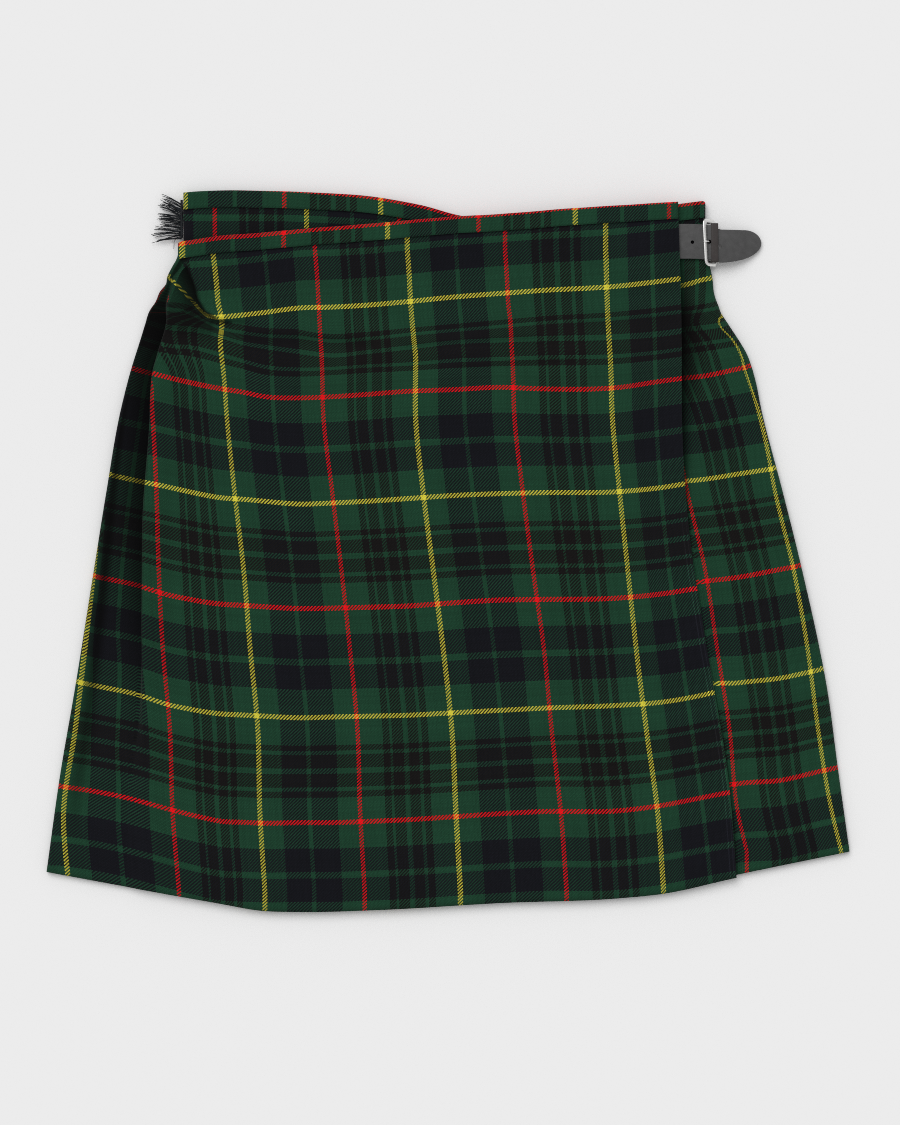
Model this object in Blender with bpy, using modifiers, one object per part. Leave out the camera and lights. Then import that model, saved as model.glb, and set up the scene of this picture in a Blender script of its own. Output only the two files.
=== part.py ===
"""A wrap kilt of tartan cloth, laid flat with its front up.

The frame is in millimetres here and becomes metres in the meshes: +X to the wearer's left, +Y up
towards the waist, +Z up from the surface that the kilt lies on, with the origin under its middle.
From the bottom up it has the pleated back, the under apron, which wraps round the right edge of the
view, and the over apron, which wraps round the left edge. A waistband closes the top of each. A
leather strap at the over apron's free edge goes through a buckle that a leather tab holds on the hip.
"""

import math

import bmesh
import bpy
import numpy as np

MM = 0.001
OBJECT = "scottish_kilt"

# Cloth: a wall, the space kept between pieces, and the space between stacked panels.
WALL = 1.0
SEAM = 0.3
BAND_DEPTH = 12.5
BAND_LIFT = WALL + SEAM
INTO_BAND = 8.0
OVER_WRAP_END = -190.0
OVER_BAND_EDGE = -196.0
UNDER_BAND_START = -191.5
UNDER_BAND_EDGE = 184.7
BACK_BAND_START = -189.5
UNDER_WRAP_END = 170.0
BACK_BAND_FOOT = 236.0
PLEATS = 17
PLEAT_RADIUS = (WALL + SEAM) / 2

# Heights of the middle of each cloth wall above the surface it lies on.
UNDERSIDE = WALL / 2
BAND_FLOOR = UNDERSIDE + BAND_LIFT
PLEAT_TOP = 3 * WALL + 2 * SEAM
UNDER_BODY = PLEAT_TOP + 0.4 + WALL / 2
UNDER_WAIST = 5.8
OVER_BODY = UNDER_BODY + WALL + 1.0
OVER_WAIST_LEFT = 7.9
OVER_WAIST_RIGHT = 10.0

# The silhouette: height up the kilt, left edge, right edge.
SIDE_COLUMNS = ("y", "left", "right")
SIDES = (
    (254, -196.5, 185.1),
    (240, -196.5, 185.3),
    (222, -196.5, 187.0),
    (211, -197.2, 188.5),
    (204, -203.0, 189.8),
    (197, -206.0, 191.6),
    (189, -209.0, 194.5),
    (175, -217.5, 200.0),
    (160, -223.7, 206.5),
    (130, -232.5, 220.0),
    (101, -239.8, 227.0),
    (43, -250.0, 242.7),
    (-16, -259.5, 257.3),
    (-103, -273.4, 275.6),
    (-162, -283.6, 283.6),
    (-236, -294.0, 294.0),
)

# The pleat fold at the over apron's left: height up the kilt, where its edge lies, the angle that
# the cloth turns through there, how far it drops to the layer below, and the radius of the turn.
FOLD_COLUMNS = ("y", "edge", "turn", "drop", "radius")
APRON_FOLD = (
    (222, -188.0, 4, 0.2, 17.0),
    (211, -189.0, 4, 0.2, 17.0),
    (203, -196.0, 14, 0.8, 6.0),
    (190, -202.0, 45, 2.4, 3.0),
    (175, -206.0, 95, 4.2, 1.7),
    (160, -207.5, 140, 4.6, 1.2),
    (130, -216.5, 168, 4.6, 0.9),
    (94, -218.0, 170, 4.6, 0.9),
    (26, -223.0, 168, 4.6, 0.9),
    (-30, -223.7, 160, 4.6, 0.9),
    (-70, -224.0, 120, 4.2, 1.0),
    (-110, -224.0, 60, 3.6, 1.6),
    (-150, -224.0, 25, 3.0, 2.5),
    (-236, -224.0, 10, 2.2, 8.0),
)

# The over apron's free edge and the under apron's hidden free edge, by height up the kilt.
EDGE_COLUMNS = ("y", "over", "under")
FREE_EDGES = (
    (254, 166.0, -194.0),
    (182, 168.3, -193.0),
    (60, 170.5, -190.0),
    (3, 175.6, -188.0),
    (-58, 185.0, -187.0),
    (-176, 204.0, -185.0),
    (-240, 209.0, -184.0),
)

# The top edge of each waistband, by place across the kilt.
TOP_COLUMNS = ("x", "over", "under", "back")
TOPS = (
    (-197, 223.7, 259.5, 226.0),
    (-186, 225.4, 260.6, 230.0),
    (-167, 228.1, 261.2, 238.0),
    (-138, 230.3, 261.0, 246.5),
    (-109, 232.9, 260.3, 250.0),
    (-80, 235.1, 258.8, 250.0),
    (-51, 237.4, 256.2, 247.0),
    (-21, 239.9, 250.7, 242.0),
    (11, 242.3, 242.6, 237.5),
    (37, 243.9, 241.3, 237.0),
    (95, 248.3, 245.0, 241.0),
    (154, 252.0, 250.0, 247.0),
    (186, 254.0, 253.7, 251.0),
)

# The hem, by place across the kilt.
HEM_COLUMNS = ("x", "y")
HEM = (
    (-294, -235.0),
    (-226, -247.5),
    (-167, -258.0),
    (-138, -263.0),
    (-109, -264.0),
    (-50, -262.5),
    (37, -257.5),
    (124, -254.0),
    (154, -251.0),
    (209, -239.0),
    (294, -221.5),
)
UNDER_HEM_RISE = 1.8
BACK_HEM_RISE = 4.0

# Soft ridges and troughs of the aprons: both ends, half width and height.
RELIEF_COLUMNS = ("x0", "y0", "x1", "y1", "width", "height")
OVER_RELIEF = (
    (-186, 205, -182, 165, 26, 1.8),
    (-198, 203, -197, 172, 8, 2.2),
    (-190, 212, -178, 178, 6, -2.2),
    (-170, 168, -70, 158, 9, 1.6),
    (-165, 150, -60, 146, 9, -0.9),
    (-40, 150, 130, 158, 12, 1.1),
    (-208, 120, -212, 20, 10, 1.0),
)
UNDER_RELIEF = (
    (196, 178, 214, 135, 6, 1.2),
    (230, 100, 275, -120, 12, 1.2),
)

# The back's pleated part, between the two wraps: its edges at the waist and at the hem.
BACK_LEFT = (-184.0, -214.0)
BACK_RIGHT = (160.0, 258.0)
BACK_SEAM = 0.8
PLEAT_STEP = 2.6
PLEAT_SHOW = 3.2
SHELF_LEAST = 1.5

# The strap, its buckle and the tab that holds the buckle.
STRAP_WIDTH = 25.4
STRAP_THICK = 1.8
STRAP_START = 152.0
STRAP_TIP = 227.4
STRAP_POINT = 21.0
STRAP_COLUMNS = ("x", "y", "z")
STRAP_PATH = (
    (152, 224.0, 7.55),
    (165, 224.0, 7.55),
    (176, 224.0, 7.55),
    (185, 223.6, 7.65),
    (190, 223.1, 9.1),
    (195.5, 222.5, 9.1),
    (200, 221.9, 8.8),
    (206, 221.2, 7.6),
    (215, 220.6, 4.9),
    (222, 220.4, 2.9),
    (227.4, 220.3, 2.0),
)
PUNCHED_HOLES = ((176.7, 223.4), (196.4, 220.1))
PRONG_HOLE = (188.9, 223.6)
PRONG_COLUMNS = ("x", "z")
PRONG_PATH = (
    (189.9, 5.2),
    (189.1, 7.2),
    (188.7, 9.6),
    (188.3, 11.6),
    (187.2, 12.45),
    (185.6, 12.5),
    (184.6, 12.1),
)
PRONG_RADIUS = 0.6
HOLE_RADIUS = 1.3
PRONG_HOLE_RADIUS = 1.5
BUCKLE_CENTRE_Y = 223.1
BUCKLE_LEFT_X = 186.1
BUCKLE_LEFT_Z = 10.5
BUCKLE_PIVOT_X = 193.2
BUCKLE_PIVOT_Z = 3.7
BUCKLE_HALF = 15.4
BUCKLE_ROD = 1.0
BUCKLE_CORNER = 2.2
BUCKLE_LEAN = math.radians(3.0)
KEEPER_LEFT = 190.2
KEEPER_RIGHT = 195.2
KEEPER_THICK = 1.0
KEEPER_ROOM = SEAM + 0.2
KEEPER_CORNER = 0.8
TAB_THICK = 1.0
TAB_WIDTH = 20.0
TAB_ROOT_X = 167.0

# The fringe of the under apron's edge, where it shows past the over apron.
FRINGE_TOP = 254.5
FRINGE_BOTTOM = 226.5
FRINGE_STRANDS = 44
FRINGE_LAYERS = 2
STRAND_RADIUS = 0.32
STRAND_SIDES = 3
STRAND_STEPS = 4
STRIP_WIDTH = 1.6
STRIP_HEIGHT = 2.2
STRIP_X = -195.1
STRIP_Z = UNDER_BODY + 0.35

CLOTH_GREEN = (0.018, 0.055, 0.028, 1.0)
CLOTH_DARK = (0.008, 0.016, 0.012, 1.0)
LEATHER = (0.022, 0.021, 0.022, 1.0)
NICKEL = (0.62, 0.62, 0.60, 1.0)


def column(table, names, name):
    """One named column of a table, as an array."""
    return np.array([row[names.index(name)] for row in table], float)


def soft_curve(at, xs, ys):
    """The value at each place of the soft curve through (xs, ys), held level past both ends."""
    order = np.argsort(xs)
    xs = np.asarray(xs, float)[order]
    ys = np.asarray(ys, float)[order]
    slopes = np.gradient(ys, xs)
    at = np.clip(at, xs[0], xs[-1])
    i = np.clip(np.searchsorted(xs, at) - 1, 0, len(xs) - 2)
    span = xs[i + 1] - xs[i]
    t = (at - xs[i]) / span
    rise = ys[i] * (1 + 2 * t) * (1 - t) ** 2 + ys[i + 1] * t * t * (3 - 2 * t)
    return rise + span * (slopes[i] * t * (1 - t) ** 2 - slopes[i + 1] * t * t * (1 - t))


def read(table, names, name, at):
    """A column of a table as a soft curve of its first column."""
    return soft_curve(at, column(table, names, names[0]), column(table, names, name))


def ramp(at, start, end):
    """From 0 at start to 1 at end, level at both."""
    t = np.clip((at - start) / (end - start), 0, 1)
    return t * t * (3 - 2 * t)


def mix(a, b, t):
    return a + (b - a) * t


def hem_at(x):
    return read(HEM, HEM_COLUMNS, "y", x)


def top_at(x, band):
    return read(TOPS, TOP_COLUMNS, band, x)


def relief(x, y, table):
    """The sum of a table's folds: each is a bell across its line, fading out past both ends."""
    height = np.zeros(np.broadcast(x, y).shape)
    for row in table:
        fold = dict(zip(RELIEF_COLUMNS, row))
        run_x = fold["x1"] - fold["x0"]
        run_y = fold["y1"] - fold["y0"]
        length = math.hypot(run_x, run_y)
        along = ((x - fold["x0"]) * run_x + (y - fold["y0"]) * run_y) / length
        across = ((x - fold["x0"]) * run_y - (y - fold["y0"]) * run_x) / length
        past = np.maximum(np.maximum(-along, along - length), 0)
        bell = np.exp(-(across / fold["width"]) ** 2 - (past / (1.5 * fold["width"])) ** 2)
        height = height + fold["height"] * bell
    return height


def over_height(x, y):
    """Middle of the over apron's wall: lifted by the bands and the strap below it at the waist."""
    below = top_at(x, "over") - y
    waist = mix(OVER_WAIST_LEFT, OVER_WAIST_RIGHT, ramp(x, -95, -38))
    held = mix(14.0, 46.0, ramp(x, 90, 128))
    body = OVER_BODY + relief(x, y, OVER_RELIEF) * ramp(below, 12, 32)
    return mix(waist, body, ramp(below, held, held + 26))


def under_height(x, y):
    """Middle of the under apron's wall."""
    below = top_at(x, "under") - y
    held = mix(13.0, 46.0, ramp(x, 95, 130))
    body = UNDER_BODY + relief(x, y, UNDER_RELIEF) * ramp(below, 46, 66)
    return mix(UNDER_WAIST, body, ramp(below, held, held + 22))


def underside(below, held):
    """Middle of a wrap's lower run, which its band or the buckle's tab keeps off the surface."""
    return mix(BAND_FLOOR, UNDERSIDE, ramp(below, held, held + 16))


def material(name, colour, roughness, metallic=0.0):
    made = bpy.data.materials.new(name)
    made.use_nodes = True
    shader = made.node_tree.nodes["Principled BSDF"]
    shader.inputs["Base Color"].default_value = colour
    shader.inputs["Roughness"].default_value = roughness
    shader.inputs["Metallic"].default_value = metallic
    return made


def add_mesh(name, points, faces, finish, group):
    """An object from points in millimetres."""
    mesh = bpy.data.meshes.new(name)
    mesh.from_pydata((np.asarray(points) * MM).tolist(), [], faces)
    mesh.validate()
    mesh.materials.append(finish)
    made = bpy.data.objects.new(name, mesh)
    group.objects.link(made)
    return made


def grid_faces(rows, columns):
    """The squares of a grid whose points are listed row by row."""
    corner = (np.arange(rows - 1)[:, None] * columns + np.arange(columns - 1)).ravel()
    return np.stack([corner, corner + columns, corner + columns + 1, corner + 1], 1).tolist()


def cloth(name, grid, finish, group, wall=WALL, even=True):
    """A cloth wall round the middle surface that a grid of points gives, row by row."""
    rows, columns, _ = grid.shape
    made = add_mesh(name, grid.reshape(-1, 3), grid_faces(rows, columns), finish, group)
    shell = made.modifiers.new("wall", "SOLIDIFY")
    shell.thickness = wall * MM
    shell.offset = 0
    shell.use_even_offset = even
    shell.use_quality_normals = True
    made.data.shade_smooth()
    return made


def row_places(close, far, turn=0.2):
    """Places from 0 to 1 down a panel, closer together in the first part, where the folds are."""
    return np.concatenate([np.linspace(0, turn, close, endpoint=False), np.linspace(turn, 1, far)])


def back_edge(y, edge):
    """Where the pleated back ends at a height, given where it ends at the waist and the hem."""
    top = top_at(edge[0], "back") - BAND_DEPTH - BACK_SEAM
    hem = hem_at(edge[1]) + BACK_HEM_RISE
    return mix(edge[0], edge[1], (top - y) / (top - hem))


def over_section(t):
    """Across the over apron at a place t down it: x and z from the free edge to the wrap's end.

    The top run goes left to the fold's edge. The fold turns through its angle, runs straight and
    turns back. The layer below goes left to the kilt's edge, half a circle takes it under, and the
    lower run goes back right to the pleats.
    """
    y = mix(222.0, -236.0, t)
    fold = {name: float(read(APRON_FOLD, FOLD_COLUMNS, name, y)) for name in FOLD_COLUMNS}
    free = float(read(FREE_EDGES, EDGE_COLUMNS, "over", mix(250.0, -240.0, t)))
    left = float(read(SIDES, SIDE_COLUMNS, "left", y)) + WALL / 2
    turn = math.radians(fold["turn"])
    radius = fold["radius"]
    straight = max(0.4, (fold["drop"] - 2 * radius * (1 - math.cos(turn))) / math.sin(turn))
    start = fold["edge"] + WALL / 2 + radius * (math.sin(turn) if turn < math.pi / 2 else 1)
    across = np.linspace(0, 1, 24) ** 0.72
    top_x = mix(free, start, across)
    angles = np.linspace(0, turn, 4)[1:]
    first_x = start - radius * np.sin(angles)
    first_z = -radius * (1 - np.cos(angles))
    run_x = first_x[-1] - straight * math.cos(turn)
    run_z = first_z[-1] - straight * math.sin(turn)
    back = np.linspace(turn, 0, 4)[1:]
    second_x = run_x - radius * (math.sin(turn) - np.sin(back))
    second_z = run_z - radius * (np.cos(back) - math.cos(turn))
    fold_x = np.concatenate([first_x, [run_x], second_x])
    fold_z = np.concatenate([first_z, [run_z], second_z])
    below = 222.0 - y
    low = float(underside(below, 12.0))
    floor_y = mix(top_at(BACK_LEFT[0], "over") - INTO_BAND, hem_at(BACK_LEFT[1]), t)
    floor_x = back_edge(floor_y, BACK_LEFT) - BACK_SEAM
    return top_x, fold_x, fold_z, left, low, floor_x


def over_apron(finish, group):
    """The panel on top: its free edge at the right, its fold at the left and its wrap under that."""
    rows = []
    for t in row_places(12, 12):
        top_x, fold_x, fold_z, left, low, floor_x = over_section(t)
        top_y = mix(top_at(top_x, "over") - INTO_BAND, hem_at(top_x), t)
        top_z = over_height(top_x, top_y)
        shelf = top_z[-1] + fold_z[-1]
        nose = (shelf - low) / 2
        reach = min(nose, fold_x[-1] - left - SHELF_LEAST)
        lower_x = np.linspace(fold_x[-1], left + reach, 4)[1:]
        lower_z = np.full(3, shelf)
        around = np.linspace(0, math.pi, 6)[1:]
        nose_x = left + reach * (1 - np.sin(around))
        nose_z = low + nose + nose * np.cos(around)
        under_x = np.linspace(nose_x[-1], floor_x, 4)[1:]
        x = np.concatenate([top_x, fold_x, lower_x, nose_x, under_x])
        z = np.concatenate([top_z, top_z[-1] + fold_z, lower_z, nose_z, np.full(3, low)])
        y = mix(top_at(x, "over") - INTO_BAND, hem_at(x), t)
        rows.append(np.stack([x, y, z], 1))
    return cloth("over_apron", np.array(rows)[:, ::-1], finish, group, even=False)


def under_apron(finish, group):
    """The panel below: its free edge at the left, hidden, and its wrap round the right edge."""
    rows = []
    for t in row_places(9, 12):
        y = mix(250.0, -226.0, t)
        free = float(read(FREE_EDGES, EDGE_COLUMNS, "under", y))
        right = float(read(SIDES, SIDE_COLUMNS, "right", y)) - WALL / 2
        low = float(underside(250.0 - y, 46.0))
        top_x = mix(free, right - 3.0, np.linspace(0, 1, 20) ** 0.75)
        top_y = mix(top_at(top_x, "under") - INTO_BAND, hem_at(top_x) + UNDER_HEM_RISE, t)
        top_z = under_height(top_x, top_y)
        nose = (top_z[-1] - low) / 2
        around = np.linspace(0, math.pi, 6)[1:]
        nose_x = right - nose + nose * np.sin(around)
        top_x[-1] = right - nose
        nose_z = low + nose + nose * np.cos(around)
        hem_y = hem_at(BACK_RIGHT[1]) + UNDER_HEM_RISE
        floor_y = mix(top_at(BACK_RIGHT[0], "under") - INTO_BAND, hem_y, t)
        floor_x = back_edge(floor_y, BACK_RIGHT) + BACK_SEAM
        if floor_y > BACK_BAND_FOOT:
            floor_x = UNDER_WRAP_END + BACK_SEAM
        under_x = np.linspace(nose_x[-1], floor_x, 4)[1:]
        x = np.concatenate([top_x, nose_x, under_x])
        z = np.concatenate([top_z, nose_z, np.full(3, low)])
        y = mix(top_at(x, "under") - INTO_BAND, hem_at(x) + UNDER_HEM_RISE, t)
        rows.append(np.stack([x, y, z], 1))
    return cloth("under_apron", np.array(rows), finish, group, even=False)


def pleat_profile(width, pitch):
    """The back's knife pleats seen from the hem, as x and z of the middle of the wall.

    Each pleat shows a flat stretch on the surface, turns back over it, turns again on top and comes
    down past the fold to the next stretch.
    """
    r = PLEAT_RADIUS
    low = UNDERSIDE
    depth = pitch - PLEAT_SHOW
    half = np.linspace(0, math.pi, 4)
    quarter = np.linspace(0, math.pi / 2, 3)
    xs, zs = [], []
    for k in range(PLEATS):
        start = k * pitch
        edge = start + pitch - PLEAT_STEP
        inner = edge - depth + r
        xs += [start, start + 1.0]
        zs += [low, low]
        xs += list(edge - r + r * np.sin(half))
        zs += list(low + r - r * np.cos(half))
        xs += list(inner - r * np.sin(half))
        zs += list(low + 3 * r - r * np.cos(half))
        xs += list(edge + 0.65 + r * np.sin(quarter))
        zs += list(low + 3 * r + r * np.cos(quarter))
        xs += list(edge + 0.65 + 2 * r - r * np.cos(quarter))
        zs += list(low + r - r * np.sin(quarter))
    xs += [PLEATS * pitch + 1.0, width]
    zs += [low, low]
    return np.array(xs), np.array(zs)


def pleated_back(finish, group):
    """The pleats from the back's band to the hem, wider towards the hem."""
    rows = []
    for t in (0.0, 0.5, 1.0):
        left = mix(BACK_LEFT[0], BACK_LEFT[1], t)
        right = mix(BACK_RIGHT[0], BACK_RIGHT[1], t)
        width = right - left
        pitch = width / (PLEATS + 0.55)
        x, z = pleat_profile(width, pitch)
        x = x + left
        y = mix(top_at(x, "back") - BAND_DEPTH - BACK_SEAM, hem_at(x) + BACK_HEM_RISE, t)
        rows.append(np.stack([x, y, z], 1))
    return cloth("pleated_back", np.array(rows), finish, group)


def band_profile():
    """The folded waistband's wall across its depth: front run, half circle over the top, back run.

    Gives how far each point lies below the band's top edge and in front of the band's middle.
    """
    around = np.linspace(0, math.pi, 5)
    over = BAND_LIFT + WALL / 2 - BAND_LIFT * np.sin(around)
    down = np.concatenate([[BAND_DEPTH], over, [BAND_DEPTH]])
    front = np.concatenate([[BAND_LIFT], BAND_LIFT * np.cos(around), [-BAND_LIFT]])
    return down, front


def waistband(name, path_x, path_z, path_top, finish, group):
    """A folded band along a path across the kilt; its depth runs down and its front faces out."""
    down, front = band_profile()
    step_x = np.gradient(path_x)
    step_z = np.gradient(path_z)
    length = np.hypot(step_x, step_z)
    out_x = -step_z / length
    out_z = step_x / length
    x = path_x[:, None] + out_x[:, None] * front
    z = path_z[:, None] + out_z[:, None] * front
    y = path_top[:, None] - down
    return cloth(name, np.stack([x, y + np.zeros_like(x), z], 2), finish, group)


def waistband_over(finish, group):
    """Across the over apron's top, round the kilt's left edge and a little way under it."""
    low = BAND_FLOOR
    high = OVER_WAIST_LEFT
    nose = (high - low) / 2
    around = np.linspace(-math.pi / 2, math.pi / 2, 6)
    wrap_x = OVER_BAND_EDGE + nose - nose * np.cos(around)
    wrap_z = low + nose + nose * np.sin(around)
    free = float(read(FREE_EDGES, EDGE_COLUMNS, "over", 250.0))
    top_x = np.linspace(wrap_x[-1], free, 18)[1:]
    x = np.concatenate([[OVER_WRAP_END], wrap_x, top_x])
    z = np.concatenate([[low], wrap_z, over_height(top_x, top_at(top_x, "over"))])
    return waistband("waistband_over", x, z, top_at(x, "over"), finish, group)


def waistband_under(finish, group):
    """Across the under apron's top, round the kilt's right edge and a little way under it."""
    nose = (UNDER_WAIST - BAND_FLOOR) / 2
    around = np.linspace(math.pi / 2, -math.pi / 2, 6)
    wrap_x = UNDER_BAND_EDGE - nose + nose * np.cos(around)
    wrap_z = BAND_FLOOR + nose + nose * np.sin(around)
    top_x = np.linspace(UNDER_BAND_START, wrap_x[0], 18)[:-1]
    x = np.concatenate([top_x, wrap_x, [UNDER_WRAP_END]])
    z = np.concatenate([np.full(len(top_x), UNDER_WAIST), wrap_z, [BAND_FLOOR]])
    return waistband("waistband_under", x, z, top_at(x, "under"), finish, group)


def waistband_back(finish, group):
    """Across the back's top, on the surface."""
    x = np.linspace(BACK_BAND_START, UNDER_WRAP_END - 0.5, 27)
    z = np.full(len(x), BAND_FLOOR)
    return waistband("waistband_back", x, z, top_at(x, "back"), finish, group)


def strap_half_width(x):
    """Half the strap's width: full along it and a parabola towards the tip."""
    left = np.clip((STRAP_TIP - x) / STRAP_POINT, 0, 1)
    return STRAP_WIDTH / 2 * np.sqrt(left)


def strap_middle(x):
    """The strap's middle line at a place along it: its place up the kilt and its height."""
    return read(STRAP_PATH, STRAP_COLUMNS, "y", x), read(STRAP_PATH, STRAP_COLUMNS, "z", x)


def strap(finish, group):
    """The strap, from under the over apron's free edge to its point on the hip."""
    straight = np.linspace(STRAP_START, STRAP_TIP - STRAP_POINT - 2.4, 14)
    point = STRAP_TIP - STRAP_POINT * np.linspace(1, 0.08, 7) ** 2
    x = np.concatenate([straight, point])[:, None]
    y, z = strap_middle(x)
    wide = y + strap_half_width(x) * np.linspace(-1, 1, 5)
    grid = np.stack(np.broadcast_arrays(x, wide, z), 2)
    return cloth("strap", grid, finish, group, STRAP_THICK)


def cut_holes(piece, cutters):
    """Cuts the punched holes and the prong's hole through the strap."""
    places = [(x, y, HOLE_RADIUS) for x, y in PUNCHED_HOLES] + [(*PRONG_HOLE, PRONG_HOLE_RADIUS)]
    for number, (x, y, radius) in enumerate(places):
        mesh = bpy.data.meshes.new(f"hole_{number}")
        shape = bmesh.new()
        bmesh.ops.create_cone(
            shape, cap_ends=True, segments=8, radius1=radius * MM, radius2=radius * MM, depth=8 * MM
        )
        shape.to_mesh(mesh)
        shape.free()
        cutter = bpy.data.objects.new(f"hole_{number}", mesh)
        cutter.location = (x * MM, y * MM, float(strap_middle(x)[1]) * MM)
        cutter.hide_render = True
        cutter.display_type = "WIRE"
        cutters.objects.link(cutter)
        cut = piece.modifiers.new(f"hole_{number}", "BOOLEAN")
        cut.object = cutter
        cut.operation = "DIFFERENCE"


def rounded_rectangle(half_width, half_height, corner, steps):
    """Points round a rectangle with round corners, each corner a quarter circle in some steps."""
    xs, ys = [], []
    for turn, (side_x, side_y) in enumerate(((1, 1), (-1, 1), (-1, -1), (1, -1))):
        angle = np.linspace(0, math.pi / 2, steps) + turn * math.pi / 2
        xs.append(side_x * (half_width - corner) + corner * np.cos(angle))
        ys.append(side_y * (half_height - corner) + corner * np.sin(angle))
    return np.concatenate(xs), np.concatenate(ys)


def rod(name, points, radius, cyclic, finish, group):
    """A round rod along points in millimetres."""
    line = bpy.data.curves.new(name, "CURVE")
    line.dimensions = "3D"
    line.bevel_depth = radius * MM
    line.bevel_resolution = 1
    line.use_fill_caps = True
    spline = line.splines.new("POLY")
    spline.points.add(len(points) - 1)
    spline.use_cyclic_u = cyclic
    for place, point in zip(spline.points, points):
        place.co = (point[0] * MM, point[1] * MM, point[2] * MM, 1.0)
    line.materials.append(finish)
    made = bpy.data.objects.new(name, line)
    group.objects.link(made)
    return made


def buckle_frame(finish, group):
    """A rectangle of rod with round corners, from the bar over the strap to the pivot below it."""
    reach = math.hypot(BUCKLE_PIVOT_X - BUCKLE_LEFT_X, BUCKLE_PIVOT_Z - BUCKLE_LEFT_Z)
    tilt = math.atan2(BUCKLE_PIVOT_Z - BUCKLE_LEFT_Z, BUCKLE_PIVOT_X - BUCKLE_LEFT_X)
    along, up = rounded_rectangle(reach / 2, BUCKLE_HALF, BUCKLE_CORNER, 4)
    along = along + reach / 2
    x = BUCKLE_LEFT_X + along * math.cos(tilt) - up * math.sin(BUCKLE_LEAN)
    z = BUCKLE_LEFT_Z + along * math.sin(tilt)
    points = np.stack([x, BUCKLE_CENTRE_Y + up, z], 1)
    return rod("buckle_frame", points, BUCKLE_ROD, True, finish, group)


def buckle_prong(finish, group):
    """A pin from beside the pivot up through the strap's hole to the top of the buckle's bar."""
    points = [(x, PRONG_HOLE[1], z) for x, z in PRONG_PATH]
    return rod("buckle_prong", points, PRONG_RADIUS, False, finish, group)


def keeper(finish, group):
    """A closed leather loop round the strap, next to the buckle."""
    y, z = strap_middle((KEEPER_LEFT + KEEPER_RIGHT) / 2)
    half_y = STRAP_WIDTH / 2 + KEEPER_ROOM + KEEPER_THICK / 2
    half_z = STRAP_THICK / 2 + KEEPER_ROOM + KEEPER_THICK / 2
    loop_y, loop_z = rounded_rectangle(half_y, half_z, KEEPER_CORNER, 3)
    sides = np.array([[KEEPER_LEFT], [KEEPER_RIGHT]])
    grid = np.stack(np.broadcast_arrays(sides, y + loop_y, z + loop_z), 2)
    made = cloth("keeper", grid, finish, group, KEEPER_THICK)
    count = len(loop_y)
    close = bmesh.new()
    close.from_mesh(made.data)
    close.verts.ensure_lookup_table()
    close.faces.new([close.verts[i] for i in (count - 1, 2 * count - 1, count, 0)])
    bmesh.ops.recalc_face_normals(close, faces=close.faces)
    close.to_mesh(made.data)
    close.free()
    return made


def buckle_tab(finish, group):
    """A leather strip sewn under the hip's edge, bent up and looped round the buckle's pivot."""
    loop = BUCKLE_ROD + SEAM + TAB_THICK / 2
    low = TAB_THICK / 2
    around = np.radians(np.linspace(-125, 160, 9))
    loop_x = BUCKLE_PIVOT_X + loop * np.cos(around)
    loop_z = BUCKLE_PIVOT_Z + loop * np.sin(around)
    x = np.concatenate([[TAB_ROOT_X, 178.0, 186.0, 189.0], loop_x])
    z = np.concatenate([[low, low, low, low + 0.5], loop_z])
    y = np.array([-0.5, 0.5]) * TAB_WIDTH + BUCKLE_CENTRE_Y
    grid = np.empty((len(x), 2, 3))
    grid[:, :, 0] = x[:, None] - (y - BUCKLE_CENTRE_Y) * math.sin(BUCKLE_LEAN)
    grid[:, :, 1] = y
    grid[:, :, 2] = z[:, None]
    return cloth("buckle_tab", grid, finish, group, TAB_THICK)


def strand_path(number):
    """One fringe strand's middle: from the strip it fans out left, bends and droops a little."""
    place = number / (FRINGE_STRANDS - 1)
    layer = number % FRINGE_LAYERS
    wave = math.sin(number * 0.35)
    root_y = mix(FRINGE_TOP - 0.8, FRINGE_BOTTOM + 0.8, place)
    fan = mix(0.45, -0.08, place)
    length = 18.5 + 3.0 * math.sin(number * 1.7) - 4.0 * (1 - place) ** 3
    t = np.linspace(0, 1, STRAND_STEPS + 1)
    x = STRIP_X - length * t * math.cos(fan)
    y = root_y + length * (t * math.sin(fan) + 0.03 * wave * t * t)
    z = STRIP_Z + (layer - 0.5) * STRIP_HEIGHT / 2 - 3.0 * t * t
    return np.stack([x, y, z], 1)


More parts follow.
